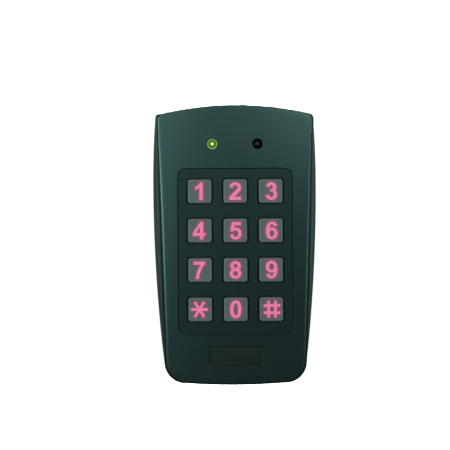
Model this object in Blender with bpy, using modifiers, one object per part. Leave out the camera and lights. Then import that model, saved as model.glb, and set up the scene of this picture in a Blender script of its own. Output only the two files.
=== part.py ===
"""Wall-mounted keypad access reader, modelled as the assembly that comes apart on a bench.

Frame: metres, +Z up, +X to the right as a user sees it, front towards -Y.
The origin is on the wall plane (y = 0), on the vertical centreline, at mid height.
A depth here is the distance forward from the wall plane, so depth d lies at y = -d.
"""

import math

import bmesh
import bpy
from mathutils import Matrix, Vector

MM = 0.001

# Overall body
WIDTH = 80 * MM
HEIGHT = 138 * MM
CREST = 26.5 * MM  # depth of the highest point of the front face
GAP = 0.3 * MM  # clearance between separate pieces that rest on each other

# Plan outline of the cover: a rim that bows outwards and a front edge that tapers almost straight
WIDEST_Z = 30 * MM
RIM_UPPER_RADIUS = 445 * MM
RIM_LOWER_RADIUS = 776 * MM
FACE_MID_HALF_WIDTH = 36.8 * MM
FACE_TAPER = 0.034  # half width gained per unit of height
FACE_SIDE_RADIUS = 2170 * MM
TOP_ARC_RADIUS = 150 * MM
FOOT_ARC_RADIUS = 320 * MM
RIM_CORNERS = (1.8 * MM, 10.5 * MM)  # upper, lower
FACE_CORNERS = (2.6 * MM, 10.0 * MM)
LEAST_CORNER = 0.3 * MM
FACE_DROP = (1.8 * MM, 1.8 * MM)  # how far the front edge lies inside the rim, top and foot

# Side walls and front face of the cover
RIM_DEPTH = 0.4 * MM
SKIRT_DEPTH = 4 * MM
EDGE_DEPTH = 23 * MM
EDGE_RADII = (2.8 * MM, 0.7 * MM, 1.0 * MM)  # side at mid height, top, foot
EDGE_FADE_RADIUS = 1350 * MM  # arc by which the side rounding shrinks towards the top and the foot
CROWN_RADIUS_X = 685 * MM
CROWN_RADIUS_Z = 1322 * MM
SIDE_WALL = 2.2 * MM
UPPER_WALL = 3.8 * MM
FACE_WALL = 2.4 * MM
LEDGE_DEPTH = 10.2 * MM  # step in the side wall that the gasket seals on

# Keypad
COLUMNS = 3
ROWS = 4
PITCH_X = 17.0 * MM
PITCH_Z = 18.85 * MM
KEYPAD_Z = -2.6 * MM
KEY_NAMES = ("1", "2", "3", "4", "5", "6", "7", "8", "9", "star", "0", "hash")
KEY_SIZE = 11.5 * MM
KEY_CORNER = 1.2 * MM
KEY_EDGE = 0.45 * MM  # rounding of the edge of the cap's top
KEY_TOP = 26.6 * MM
KEY_FLANGE = 14.0 * MM
KEY_FLANGE_THICKNESS = 1.0 * MM
KEY_PLUNGER = 8.0 * MM
KEY_HOLE = 12.3 * MM
KEY_HOLE_CORNER = 1.6 * MM
PANEL_SIZE = (55.4 * MM, 80.0 * MM)
PANEL_Z = -3.3 * MM
PANEL_CORNER = 4.2 * MM
PANEL_FLOOR = 24.9 * MM
PANEL_BACK = 23.1 * MM
BACKING_MARGIN = 1.5 * MM
BACKING_ROOT = 0.4 * MM  # how far below the panel floor the backing ends, inside the face wall

# Indicators and badge
LED_X = 10.85 * MM
LED_Z = 48.4 * MM
LED_HOLE = 5.2 * MM
LED_BODY = (2.45 * MM, 2.9 * MM, 8.6 * MM)  # radius, flange radius, height
BADGE_Z = -53.4 * MM
BADGE_POCKET = (25.6 * MM, 9.5 * MM)
BADGE_CORNER = 0.8 * MM
BADGE_FLOOR = 24.4 * MM
BADGE_MARGIN = 0.4 * MM
BADGE_THICKNESS = 0.5 * MM
ADHESIVE = 0.1 * MM

# Board and keypad mat
BOARD_SIZE = (57 * MM, 108 * MM)
BOARD_Z = 4 * MM
BOARD_BACK = 14.4 * MM
BOARD_FRONT = 16.0 * MM
BOARD_SCREWS = ((25.5 * MM, 54.5 * MM), (25.5 * MM, -47 * MM))
BOARD_SCREW_LENGTH = 7 * MM
SCREW_SHANK = 1.1 * MM
PILOT_RADIUS = 1.35 * MM
MAT_SIZE = (53.5 * MM, 77 * MM)
MAT_BACK = BOARD_FRONT + GAP
MAT_SHEET = 1.0 * MM
DOME_TOP = 19.9 * MM
DOME_RADII = (5.6 * MM, 3.4 * MM)  # foot, top
DOME_WEB = 0.7 * MM
LAMP_SIZE = (3.2 * MM, 1.6 * MM)
LAMP_HEIGHT = 0.8 * MM
LAMP_WINDOW = 0.5 * MM
COIL_RADIUS = 0.8 * MM

# Rear cover and its screws
REAR_COVER = (7.6 * MM, 9.2 * MM)  # depths of its back and front
REAR_COVER_INSET = 2.6 * MM
REAR_SCREWS = ((32 * MM, 58 * MM), (27.8 * MM, -58.2 * MM))
REAR_SCREW_LENGTH = 9 * MM
POST_RADIUS = 2.8 * MM
TAMPER_PLACE = (15 * MM, 24 * MM)
TAMPER_WINDOW = (2.0 * MM, 3.0 * MM)  # radius in the rear cover, in the back plate

# Back plate, its hooks and the security screw
BACK_PLATE_THICKNESS = 2.5 * MM
BACK_PLATE_INSET = 2.7 * MM
WALL_HOLES = (22 * MM, 40 * MM)
WALL_HOLE_RADIUS = 2.25 * MM
WALL_HOLE_SINK = 4.4 * MM
CABLE_Z = 10 * MM
CABLE_OPENING_RADIUS = 7 * MM
HOOK_X = 20 * MM
HOOK_WIDTH = 5 * MM
HOOK_ROOT = 64 * MM
HOOK_TOP = 65.9 * MM
HOOK_LIP = (4 * MM, 6 * MM)
LOCK_DEPTH = 3.8 * MM  # the screw goes up into the foot of the cover at this depth
LOCK_SEAT = -HEIGHT / 2 + 1.0 * MM
LOCK_HOLE = 1.7 * MM
LOCK_RECESS = 2.7 * MM
LOCK_HEAD = (2.45 * MM, 0.85 * MM)
LOCK_SHANK = 1.4 * MM
LOCK_LENGTH = 7.1 * MM
LOCK_BLOCK = (10 * MM, 8 * MM, 7 * MM)  # width, height and depth
LOCK_BLOCK_FOOT = -66 * MM
INSERT_RADII = (2.1 * MM, 1.65 * MM)
INSERT_LENGTH = 5.0 * MM

# Cable
GROMMET_NECK = 3.95 * MM
JACKET_RADII = (3.0 * MM, 2.35 * MM)
JACKET_ENDS = (-16 * MM, 9.9 * MM)  # depths; negative is behind the wall plane
WIRE_RADIUS = 0.55 * MM
WIRE_RING = 1.5 * MM
WIRE_COLOURS = {
    "red": (0.55, 0.03, 0.03),
    "black": (0.02, 0.02, 0.02),
    "green": (0.03, 0.28, 0.08),
    "white": (0.75, 0.75, 0.72),
    "blue": (0.03, 0.10, 0.45),
    "brown": (0.20, 0.09, 0.04),
}
HEADER_Z = -14 * MM
HEADER_HEIGHT = 6 * MM
HEADER_PITCH = 2.0 * MM
WIRE_DEPTH = 12.4 * MM
WIRE_BEND = 2.1 * MM
WIRE_TAIL = 12 * MM

# How finely curved shapes are divided
TOP_STEPS, CORNER_STEPS, SIDE_STEPS, FOOT_STEPS = 6, 4, 8, 4
ROUND_STEPS = 16


def clear_scene():
    for obj in list(bpy.data.objects):
        bpy.data.objects.remove(obj)


def make_collection(name):
    collection = bpy.data.collections.new(name)
    bpy.context.scene.collection.children.link(collection)
    return collection


def make_material(name, colour, roughness, metallic=0.0):
    material = bpy.data.materials.new(name)
    material.use_nodes = True
    shader = material.node_tree.nodes["Principled BSDF"]
    shader.inputs["Base Color"].default_value = (*colour, 1.0)
    shader.inputs["Roughness"].default_value = roughness
    shader.inputs["Metallic"].default_value = metallic
    return material


clear_scene()
READER = make_collection("keypad_access_reader")
CUTTERS = make_collection("cutters")

COVER_PLASTIC = make_material("cover_plastic", (0.020, 0.042, 0.038), 0.42)
KEY_PLASTIC = make_material("key_plastic", (0.075, 0.115, 0.108), 0.50)
MAT_RUBBER = make_material("mat_rubber", (0.30, 0.31, 0.31), 0.65)
GASKET_RUBBER = make_material("gasket_rubber", (0.02, 0.02, 0.02), 0.80)
BADGE_PLASTIC = make_material("badge_plastic", (0.012, 0.016, 0.014), 0.35)
INNER_PLASTIC = make_material("inner_plastic", (0.015, 0.017, 0.018), 0.55)
BOARD_GREEN = make_material("board_laminate", (0.015, 0.16, 0.055), 0.40)
STEEL = make_material("screw_steel", (0.55, 0.55, 0.56), 0.30, 1.0)
BRASS = make_material("brass", (0.75, 0.55, 0.22), 0.30, 1.0)
COPPER = make_material("coil_copper", (0.60, 0.25, 0.12), 0.35, 1.0)
ALUMINIUM = make_material("can_aluminium", (0.70, 0.70, 0.72), 0.30, 1.0)
CHIP_BLACK = make_material("chip_epoxy", (0.015, 0.015, 0.016), 0.45)
GREEN_LENS = make_material("green_lens", (0.35, 0.80, 0.10), 0.15)
SMOKED_LENS = make_material("smoked_lens", (0.06, 0.02, 0.02), 0.15)
LAMP_BODY = make_material("lamp_body", (0.80, 0.78, 0.70), 0.40)
HEADER_NYLON = make_material("header_nylon", (0.78, 0.76, 0.68), 0.50)


def add_object(name, mesh, material, place=(0, 0, 0)):
    obj = bpy.data.objects.new(name, mesh)
    if material is not None and not mesh.materials:
        mesh.materials.append(material)
    obj.location = place
    READER.objects.link(obj)
    return obj


def finish_mesh(name, bm):
    """The bmesh as a mesh with its faces pointing out, shaded smooth between faces that nearly line up."""
    bmesh.ops.recalc_face_normals(bm, faces=bm.faces)
    mesh = bpy.data.meshes.new(name)
    bm.to_mesh(mesh)
    bm.free()
    mesh.shade_smooth()
    mesh.set_sharp_from_angle(angle=math.radians(35))
    return mesh


def make_piece(name, bm, material, place=(0, 0, 0)):
    return add_object(name, finish_mesh(name, bm), material, place)


def make_cutter(name, bm):
    """A helper solid for Boolean modifiers, left out of the reader itself."""
    cutter = bpy.data.objects.new(name, finish_mesh(name, bm))
    cutter.hide_render = True
    cutter.display_type = "WIRE"
    CUTTERS.objects.link(cutter)
    return cutter


def apply_boolean(obj, operation, cutter, self_meeting=False):
    """self_meeting is for a cutter whose own solids overlap each other."""
    modifier = obj.modifiers.new(f"{operation.lower()}_{cutter.name}", "BOOLEAN")
    modifier.operation = operation
    modifier.object = cutter
    modifier.solver = "EXACT"
    modifier.use_self = self_meeting


# ---------------------------------------------------------------- plan outlines


def arc_sag(distance, radius):
    """How far an arc falls away from its tangent, at this distance along the tangent."""
    return radius - math.sqrt(radius * radius - distance * distance)


def spread(start, end, count):
    """count evenly spaced values from start to end, both included."""
    return [start + (end - start) * i / (count - 1) for i in range(count)]


def rim_half_width(z):
    radius = RIM_UPPER_RADIUS if z > WIDEST_Z else RIM_LOWER_RADIUS
    return WIDTH / 2 - arc_sag(z - WIDEST_Z, radius)


def face_half_width(z):
    return FACE_MID_HALF_WIDTH + FACE_TAPER * z - arc_sag(z, FACE_SIDE_RADIUS)


def rounded_corner(corner, into, out_of, radius):
    """Points of the arc that rounds a corner, between the unit directions into and out of it."""
    turn = into.angle_signed(out_of)
    start = corner - into * radius * math.tan(abs(turn) / 2)
    centre = start + Vector((into.y, -into.x)) * radius * math.copysign(1, turn)
    arm = start - centre
    return [
        centre + Matrix.Rotation(-turn * i / CORNER_STEPS, 2) @ arm
        for i in range(CORNER_STEPS + 1)
    ]


def meeting_point(side_x, edge_z, z):
    """Where a side x(z) meets a top or foot edge z(x), starting from a height near it."""
    for _ in range(30):
        z = edge_z(side_x(z))
    return Vector((side_x(z), z))


def outline(half_width, top, foot, corners):
    """A closed plan outline as (x, z) points, clockwise from the top centre as seen from the front.

    half_width is a function of the height; top and foot are the heights on the centreline.
    """

    def top_z(x):
        return top - arc_sag(x, TOP_ARC_RADIUS)

    def foot_z(x):
        return foot + arc_sag(x, FOOT_ARC_RADIUS)

    step = 0.1 * MM
    upper = meeting_point(half_width, top_z, top)
    lower = meeting_point(half_width, foot_z, foot)
    along_top = Vector((step, top_z(upper.x) - top_z(upper.x - step))).normalized()
    down_upper = Vector((half_width(upper.y - step) - half_width(upper.y), -step)).normalized()
    down_lower = Vector((half_width(lower.y) - half_width(lower.y + step), -step)).normalized()
    along_foot = Vector((-step, foot_z(lower.x - step) - foot_z(lower.x))).normalized()
    upper_arc = rounded_corner(upper, along_top, down_upper, corners[0])
    lower_arc = rounded_corner(lower, down_lower, along_foot, corners[1])
    half = [Vector((x, top_z(x))) for x in spread(0, upper_arc[0].x, TOP_STEPS)[:-1]]
    half += upper_arc
    half += [
        Vector((half_width(z), z))
        for z in spread(upper_arc[-1].y, lower_arc[0].y, SIDE_STEPS)[1:-1]
    ]
    half += lower_arc
    half += [Vector((x, foot_z(x))) for x in spread(lower_arc[-1].x, 0, FOOT_STEPS)[1:]]
    return half + [Vector((-p.x, p.y)) for p in reversed(half[1:-1])]


def shrunk(corners, inset):
    """Corner radii of an outline that lies inset inside another."""
    return [max(radius - inset, LEAST_CORNER) for radius in corners]


def rim_outline(inset):
    top, foot = HEIGHT / 2 - inset, -HEIGHT / 2 + inset
    return outline(lambda z: rim_half_width(z) - inset, top, foot, shrunk(RIM_CORNERS, inset))


def face_outline(inset):
    top, foot = HEIGHT / 2 - FACE_DROP[0] - inset, -HEIGHT / 2 + FACE_DROP[1] + inset
    return outline(lambda z: face_half_width(z) - inset, top, foot, shrunk(FACE_CORNERS, inset))


def section(depth, inset):
    """The cover's plan outline at a depth, inset all round."""
    share = min(max((depth - SKIRT_DEPTH) / (EDGE_DEPTH - SKIRT_DEPTH), 0.0), 1.0)
    return [a.lerp(b, share) for a, b in zip(rim_outline(inset), face_outline(inset))]


def side_edge_radius(z):
    """The rounding of the front edge along the sides, widest at mid height."""
    return EDGE_RADII[0] - arc_sag(z, EDGE_FADE_RADIUS)


def edge_outline(lost):
    """The front edge part-way round its rounding, where this share of the radius is lost to the sides."""
    top, foot = (radius * lost for radius in EDGE_RADII[1:])
    return outline(
        lambda z: face_half_width(z) - lost * side_edge_radius(z),
        HEIGHT / 2 - FACE_DROP[0] - top,
        -HEIGHT / 2 + FACE_DROP[1] + foot,
        shrunk(FACE_CORNERS, top),
    )


def edge_radii(points):
    """The rounding radius of the front edge at each point of an outline."""
    top, foot = EDGE_RADII[1:]
    arc = CORNER_STEPS + 1
    half = points[: len(points) // 2 + 1]
    sides = [side_edge_radius(p.y) for p in half[TOP_STEPS - 1 + arc : -(FOOT_STEPS - 1 + arc)]]
    radii = [top] * (TOP_STEPS - 1) + spread(top, sides[0], arc) + sides
    radii += spread(sides[-1], foot, arc) + [foot] * (FOOT_STEPS - 1)
    return radii + list(reversed(radii[1:-1]))


def face_depth(point):
    """Depth of the crowned front face over a plan point."""
    return CREST - arc_sag(point.x, CROWN_RADIUS_X) - arc_sag(point.y, CROWN_RADIUS_Z)


def rounded_square(size, radius, steps=3):
    """A square with rounded corners, centred on the origin, as (x, z) points."""
    reach = size / 2 - radius
    points = []
    for quarter, (right, up) in enumerate(((1, 1), (-1, 1), (-1, -1), (1, -1))):
        for angle in spread(quarter * math.pi / 2, (quarter + 1) * math.pi / 2, steps + 1):
            x = right * reach + radius * math.cos(angle)
            z = up * reach + radius * math.sin(angle)
            points.append(Vector((x, z)))
    return points


# ---------------------------------------------------------------- solids


def level(points, depth):
    """A plan outline placed at one depth."""
    return [Vector((p.x, -depth, p.y)) for p in points]


def loft(bm, rings):
    """Joins rings of equally many points into a closed skin, with a cap on the first and the last ring."""
    made = [[bm.verts.new(point) for point in ring] for ring in rings]
    bm.faces.new(made[0])
    bm.faces.new(made[-1])
    for lower, upper in zip(made, made[1:]):
        for i in range(len(lower)):
            j = (i + 1) % len(lower)
            bm.faces.new((lower[i], lower[j], upper[j], upper[i]))
    return bm


def box(bm, low, high, corner=0.0, corner_steps=2):
    """A box between two corners given as (x, depth, z), with its front-to-back edges rounded."""
    size = Vector((high[0] - low[0], high[1] - low[1], high[2] - low[2]))
    middle = Vector(((low[0] + high[0]) / 2, -(low[1] + high[1]) / 2, (low[2] + high[2]) / 2))
    scale = Matrix.Diagonal((*size, 1.0))
    made = bmesh.ops.create_cube(bm, size=1.0, matrix=Matrix.Translation(middle) @ scale)
    if corner:
        edges = {edge for vert in made["verts"] for edge in vert.link_edges}
        upright = [edge for edge in edges if abs(edge.verts[0].co.y - edge.verts[1].co.y) > size.y / 2]
        bmesh.ops.bevel(
            bm,
            geom=upright,
            offset=corner,
            offset_type="OFFSET",
            segments=corner_steps,
            profile=0.5,
            affect="EDGES",
        )


def slab(bm, place, size, depths, corner=0.0, corner_steps=2):
    """A rounded box over the plan point place. size is its width and height, depths its back and front."""
    x, z = place
    width, height = size
    low = (x - width / 2, depths[0], z - height / 2)
    high = (x + width / 2, depths[1], z + height / 2)
    box(bm, low, high, corner, corner_steps)


def cone(bm, start, end, start_radius, end_radius, steps=ROUND_STEPS):
    """A cone or cylinder between two points."""
    axis = Vector(end) - Vector(start)
    turn = axis.to_track_quat("Z", "Y").to_matrix().to_4x4()
    middle = Matrix.Translation((Vector(start) + Vector(end)) / 2)
    bmesh.ops.create_cone(
        bm,
        cap_ends=True,
        segments=steps,
        radius1=start_radius,
        radius2=end_radius,
        depth=axis.length,
        matrix=middle @ turn,
    )


def drum(bm, place, depths, radius, front_radius=None, steps=ROUND_STEPS):
    """A cylinder or cone over the plan point place, between its back and front depths."""
    x, z = place
    cone(bm, (x, -depths[0], z), (x, -depths[1], z), radius, front_radius or radius, steps)


def wire_curve(name, points, radius, material, closed=False, resolution=2):
    """A round wire along a line of points."""
    curve = bpy.data.curves.new(name, "CURVE")
    curve.dimensions = "3D"
    spline = curve.splines.new("POLY")
    spline.points.add(len(points) - 1)
    for point, co in zip(spline.points, points):
        point.co = (*co, 1.0)
    spline.use_cyclic_u = closed
    curve.bevel_depth = radius
    curve.bevel_resolution = resolution
    curve.use_fill_caps = not closed
    curve.materials.append(material)
    READER.objects.link(bpy.data.objects.new(name, curve))


def flat_plate(name, outlines, depths, material):
    """A flat plate from a filled outline; a second outline inside the first leaves a hole."""
    back, front = depths
    curve = bpy.data.curves.new(name, "CURVE")
    curve.dimensions = "2D"
    curve.fill_mode = "BOTH"
    curve.extrude = (front - back) / 2
    for points in outlines:
        spline = curve.splines.new("POLY")
        spline.points.add(len(points) - 1)
        for point, plan in zip(spline.points, points):
            point.co = (plan.x, plan.y, 0.0, 1.0)
        spline.use_cyclic_u = True
    drawn = bpy.data.objects.new(f"{name}_outline", curve)
    drawn.location = (0, -(back + front) / 2, 0)
    drawn.rotation_euler = (math.radians(90), 0, 0)
    READER.objects.link(drawn)
    bpy.context.view_layer.update()
    evaluated = drawn.evaluated_get(bpy.context.evaluated_depsgraph_get())
    bm = bmesh.new()
    bm.from_mesh(bpy.data.meshes.new_from_object(evaluated))
    bmesh.ops.remove_doubles(bm, verts=bm.verts, dist=0.01 * MM)
    plate = make_piece(name, bm, material)
    plate.matrix_world = drawn.matrix_world
    bpy.data.objects.remove(drawn)
    return plate


FACINGS = {"front": 90, "back": -90, "up": 0}  # turn about X that points a turned piece's axis there


def turned(name, profile, material, place, closed=False, facing="front", steps=ROUND_STEPS):
    """A turned piece from (radius, height) points that run down its outer side."""
    mesh = bpy.data.meshes.new(name)
    points = [(radius, 0, height) for radius, height in profile]
    edges = [(i, i + 1) for i in range(len(points) - 1)]
    if closed:
        edges.append((len(points) - 1, 0))
    mesh.from_pydata(points, edges, [])
    obj = add_object(name, mesh, material, place)
    obj.rotation_euler = (math.radians(FACINGS[facing]), 0, 0)
    screw = obj.modifiers.new("turn", "SCREW")
    screw.steps = screw.render_steps = steps
    screw.use_merge_vertices = True
    screw.merge_threshold = 0.00001
    return obj


def screw_profile(head_radius, head_height, shank_radius, shank_length):
    """A pan-head screw with its seat at height 0, the shank above it and the head below."""
    tip = shank_radius * 0.5
    return [
        (0, shank_length),
        (tip, shank_length),
        (shank_radius, shank_length - tip),
        (shank_radius, 0),
        (head_radius, 0),
        (head_radius, -head_height * 0.6),
        (head_radius * 0.8, -head_height),
        (0, -head_height),
    ]


def mirrored(places):
    """Each (x, z) place and its twin across the centreline."""
    return [(sign * x, z) for x, z in places for sign in (-1, 1)]


def key_places():
    """The keys' (x, z) centres, row by row from the top left."""
    return [
        ((column - (COLUMNS - 1) / 2) * PITCH_X, KEYPAD_Z + ((ROWS - 1) / 2 - row) * PITCH_Z)
        for row in range(ROWS)
        for column in range(COLUMNS)
    ]


def lamp_places():
    """The backlight lamps, in the gaps between four neighbouring keys."""
    return [
        (side * PITCH_X / 2, KEYPAD_Z + (1 - row) * PITCH_Z)
        for row in range(ROWS - 1)
        for side in (-1, 1)
    ]


# ---------------------------------------------------------------- front cover


def cover_skin():
    """The outside of the cover: skirt, tapering side walls, rounded edge and crowned face."""
    rings = [level(section(depth, 0), depth) for depth in (RIM_DEPTH, SKIRT_DEPTH, LEDGE_DEPTH)]
    radii = edge_radii(edge_outline(0))
    for degrees in (0, 30, 60, 90):
        angle = math.radians(degrees)
        short = 1 - math.sin(angle)
        rings.append(
            [
                Vector((p.x, -(face_depth(p) - radius * short), p.y))
                for p, radius in zip(edge_outline(1 - math.cos(angle)), radii)
            ]
        )
    edge = [Vector((p.x, p.z)) for p in rings[-1]]
    for share in (0.75, 0.5, 0.25, 0.04):
        rings.append([Vector((p.x, -face_depth(p), p.y)) for p in (q * share for q in edge)])
    return loft(bmesh.new(), rings)


def cover_cavity():
    """The hollow of the cover, with the step that the gasket seals on."""
    ceiling = section(EDGE_DEPTH, UPPER_WALL)
    rings = [
        level(section(0, SIDE_WALL), -GAP),
        level(section(SKIRT_DEPTH, SIDE_WALL), SKIRT_DEPTH),
        level(section(LEDGE_DEPTH, SIDE_WALL), LEDGE_DEPTH),
        level(section(LEDGE_DEPTH, UPPER_WALL), LEDGE_DEPTH),
    ]
    for share in (1, 0.5, 0.04):
        inner = [p * share for p in ceiling]
        rings.append([Vector((p.x, -(face_depth(p) - FACE_WALL), p.y)) for p in inner])
    return loft(bmesh.new(), rings)


def cover_inside():
    """What stands inside the cover: the plate behind the keypad panel and the screw posts."""
    bm = bmesh.new()
    size = [side + 2 * BACKING_MARGIN for side in PANEL_SIZE]
    inside_face = PANEL_FLOOR - BACKING_ROOT
    slab(bm, (0, PANEL_Z), size, (PANEL_BACK, inside_face), PANEL_CORNER, 3)
    for places, foot in ((BOARD_SCREWS, BOARD_FRONT), (REAR_SCREWS, REAR_COVER[1])):
        for place in mirrored(places):
            drum(bm, place, (foot + GAP, face_depth(Vector(place)) - FACE_WALL / 2), POST_RADIUS)
    return bm


def cover_pockets():
    """Everything cut into the cover except the key holes."""
    bm = bmesh.new()
    outside = CREST + 5 * MM
    slab(bm, (0, PANEL_Z), PANEL_SIZE, (PANEL_FLOOR, outside), PANEL_CORNER, 5)
    slab(bm, (0, BADGE_Z), BADGE_POCKET, (BADGE_FLOOR, outside), BADGE_CORNER)
    for side in (-1, 1):
        drum(bm, (side * LED_X, LED_Z), (BOARD_FRONT, outside), LED_HOLE / 2, steps=24)
    for places, foot, length in (
        (BOARD_SCREWS, BOARD_FRONT, BOARD_SCREW_LENGTH),
        (REAR_SCREWS, REAR_COVER[1], REAR_SCREW_LENGTH),
    ):
        for place in mirrored(places):
            drum(bm, place, (foot - GAP, foot + length), PILOT_RADIUS, steps=10)
    for side in (-1, 1):
        x = side * HOOK_X
        half = HOOK_WIDTH / 2 + MM
        box(
            bm,
            (x - half, HOOK_LIP[0] - 0.4 * MM, HOOK_ROOT),
            (x + half, HOOK_LIP[1] + 0.4 * MM, HOOK_TOP + 0.4 * MM),
        )
    through = (0, -LOCK_DEPTH, LOCK_SEAT + 3 * MM)
    seat = (0, -LOCK_DEPTH, LOCK_SEAT)
    outside = (0, -LOCK_DEPTH, -HEIGHT / 2 - MM)
    cone(bm, through, (0, -LOCK_DEPTH, LOCK_SEAT - GAP), LOCK_HOLE, LOCK_HOLE)
    cone(bm, seat, outside, LOCK_RECESS, LOCK_RECESS)
    return bm


def key_openings():
    bm = bmesh.new()
    for place in key_places():
        slab(bm, place, (KEY_HOLE, KEY_HOLE), (PANEL_BACK - 2 * MM, CREST + MM), KEY_HOLE_CORNER, 3)
    return bm


def front_cover():
    cover = make_piece("front_cover", cover_skin(), COVER_PLASTIC)
    apply_boolean(cover, "DIFFERENCE", make_cutter("cover_cavity", cover_cavity()))
    apply_boolean(cover, "UNION", make_cutter("cover_inside", cover_inside()))
    # the lamp bores and the two steps of the security screw's hole meet other pockets
    apply_boolean(cover, "DIFFERENCE", make_cutter("cover_pockets", cover_pockets()), self_meeting=True)
    apply_boolean(cover, "DIFFERENCE", make_cutter("key_openings", key_openings()))


def badge_plate():
    bm = bmesh.new()
    size = [side - 2 * BADGE_MARGIN for side in BADGE_POCKET]
    back = BADGE_FLOOR + ADHESIVE
    slab(bm, (0, BADGE_Z), size, (back, back + BADGE_THICKNESS), BADGE_CORNER - BADGE_MARGIN / 2)
    make_piece("badge_plate", bm, BADGE_PLASTIC)


# ---------------------------------------------------------------- keypad


def keys():
    """Twelve caps on one mesh: a plunger, a flange that keeps the cap in, and the cap itself."""
    flange_front = PANEL_BACK - GAP
    flange_back = flange_front - KEY_FLANGE_THICKNESS
    draft = 0.1 * MM
    sections = (
        (KEY_PLUNGER, DOME_TOP + GAP),
        (KEY_PLUNGER, flange_back),
        (KEY_FLANGE, flange_back),
        (KEY_FLANGE, flange_front),
        (KEY_SIZE, flange_front),
        (KEY_SIZE - draft, KEY_TOP - KEY_EDGE),
        (KEY_SIZE - draft - 0.6 * KEY_EDGE, KEY_TOP - 0.3 * KEY_EDGE),
        (KEY_SIZE - draft - 2 * KEY_EDGE, KEY_TOP),
    )
    bm = loft(
        bmesh.new(),
        [level(rounded_square(size, KEY_CORNER), depth - KEY_TOP) for size, depth in sections],
    )
    mesh = finish_mesh("key_cap", bm)
    for name, (x, z) in zip(KEY_NAMES, key_places()):
        add_object(f"key_{name}", mesh, KEY_PLASTIC, (x, -KEY_TOP, z))


def keypad_mat():
    """One silicone sheet with a hollow dome under each key and a window over each lamp."""
    front = MAT_BACK + MAT_SHEET
    bm = bmesh.new()
    slab(bm, (0, KEYPAD_Z), MAT_SIZE, (MAT_BACK, front), 3 * MM, 3)
    mat = make_piece("keypad_mat", bm, MAT_RUBBER)
    domes, hollows, windows = bmesh.new(), bmesh.new(), bmesh.new()
    foot, top = DOME_RADII
    for place in key_places():
        drum(domes, place, (front - MAT_SHEET / 2, DOME_TOP), foot, top, steps=12)
        hollow = (MAT_BACK - GAP, DOME_TOP - 1.4 * DOME_WEB)
        drum(hollows, place, hollow, foot - 0.6 * DOME_WEB, top - DOME_WEB, steps=12)
    for place in lamp_places():
        window = [side + 2 * LAMP_WINDOW for side in LAMP_SIZE]
        slab(windows, place, window, (BOARD_FRONT, DOME_TOP))
    apply_boolean(mat, "UNION", make_cutter("mat_domes", domes))
    apply_boolean(mat, "DIFFERENCE", make_cutter("mat_hollows", hollows))
    apply_boolean(mat, "DIFFERENCE", make_cutter("mat_windows", windows))


# ---------------------------------------------------------------- circuit board


def main_board():
    bm = bmesh.new()
    slab(bm, (0, BOARD_Z), BOARD_SIZE, (BOARD_BACK, BOARD_FRONT), 2 * MM, 3)
    board = make_piece("main_pcb", bm, BOARD_GREEN)
    holes = bmesh.new()
    for place in mirrored(BOARD_SCREWS):
        drum(holes, place, (BOARD_BACK - MM, BOARD_FRONT + MM), PILOT_RADIUS + 0.15 * MM)
    apply_boolean(board, "DIFFERENCE", make_cutter("board_holes", holes))
    profile = screw_profile(2.3 * MM, 1.5 * MM, SCREW_SHANK, BOARD_SCREW_LENGTH)
    for number, (x, z) in enumerate(mirrored(BOARD_SCREWS), 1):
        turned(f"pcb_screw_{number}", profile, STEEL, (x, -(BOARD_BACK - ADHESIVE), z), steps=12)


def indicator(name, x, material):
    """A 5 mm indicator lamp standing on the board, its dome just inside the cover's hole."""
    radius, flange, height = LED_BODY
    profile = [
        (radius * math.sin(angle), height - radius + radius * math.cos(angle))
        for angle in spread(0, math.pi / 2, 6)
    ]
    profile += [(radius, MM), (flange, MM), (flange, 0), (0, 0)]
    turned(name, profile, material, (x, -(BOARD_FRONT + GAP), LED_Z), steps=20)


def component(name, place, size, material):
    """A moulded part on the back of the board. size is its width, height and thickness."""
    front = BOARD_BACK - GAP
    bm = bmesh.new()
    slab(bm, place, size[:2], (front - size[2], front))
    piece = make_piece(name, bm, material)
    edge = piece.modifiers.new("edge", "BEVEL")
    edge.width = 0.2 * MM
    edge.segments = 1


def board_components():
    indicator("status_led", -LED_X, GREEN_LENS)
    indicator("mode_led", LED_X, SMOKED_LENS)
    back = BOARD_FRONT + ADHESIVE
    for number, place in enumerate(lamp_places(), 1):
        bm = bmesh.new()
        slab(bm, place, LAMP_SIZE, (back, back + LAMP_HEIGHT), 0.2 * MM, 1)
        make_piece(f"backlight_{number}", bm, LAMP_BODY)
    component("microcontroller", (-11 * MM, -28 * MM), (10 * MM, 10 * MM, 1.4 * MM), CHIP_BLACK)
    component("voltage_regulator", (10 * MM, -30 * MM), (6.6 * MM, 6.1 * MM, 2.3 * MM), CHIP_BLACK)
    component("tamper_sensor", TAMPER_PLACE, (4.2 * MM, 3.2 * MM, 3.0 * MM), CHIP_BLACK)
    header = ((len(WIRE_COLOURS) + 1) * HEADER_PITCH, HEADER_HEIGHT, 4.4 * MM)
    component("wire_header", (0, HEADER_Z), header, HEADER_NYLON)
    # radius and height of each profile point in millimetres, from the tip to the board
    can = ((0, 4.2), (2.6, 4.2), (3.0, 3.9), (3.0, 1.1), (2.8, 0.9), (3.0, 0.7), (3.0, 0), (0, 0))
    sounder = ((0, 3.2), (1.5, 3.2), (1.5, 3.9), (5.6, 3.9), (6.0, 3.5), (6.0, 0), (0, 0))
    for name, shape, place, material in (
        ("capacitor", can, (17 * MM, -12 * MM), ALUMINIUM),
        ("buzzer", sounder, (-13 * MM, 25 * MM), CHIP_BLACK),
    ):
        profile = [(radius * MM, height * MM) for radius, height in shape]
        seat = (place[0], -(BOARD_BACK - GAP), place[1])
        turned(name, profile, material, seat, facing="back", steps=20)


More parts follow.
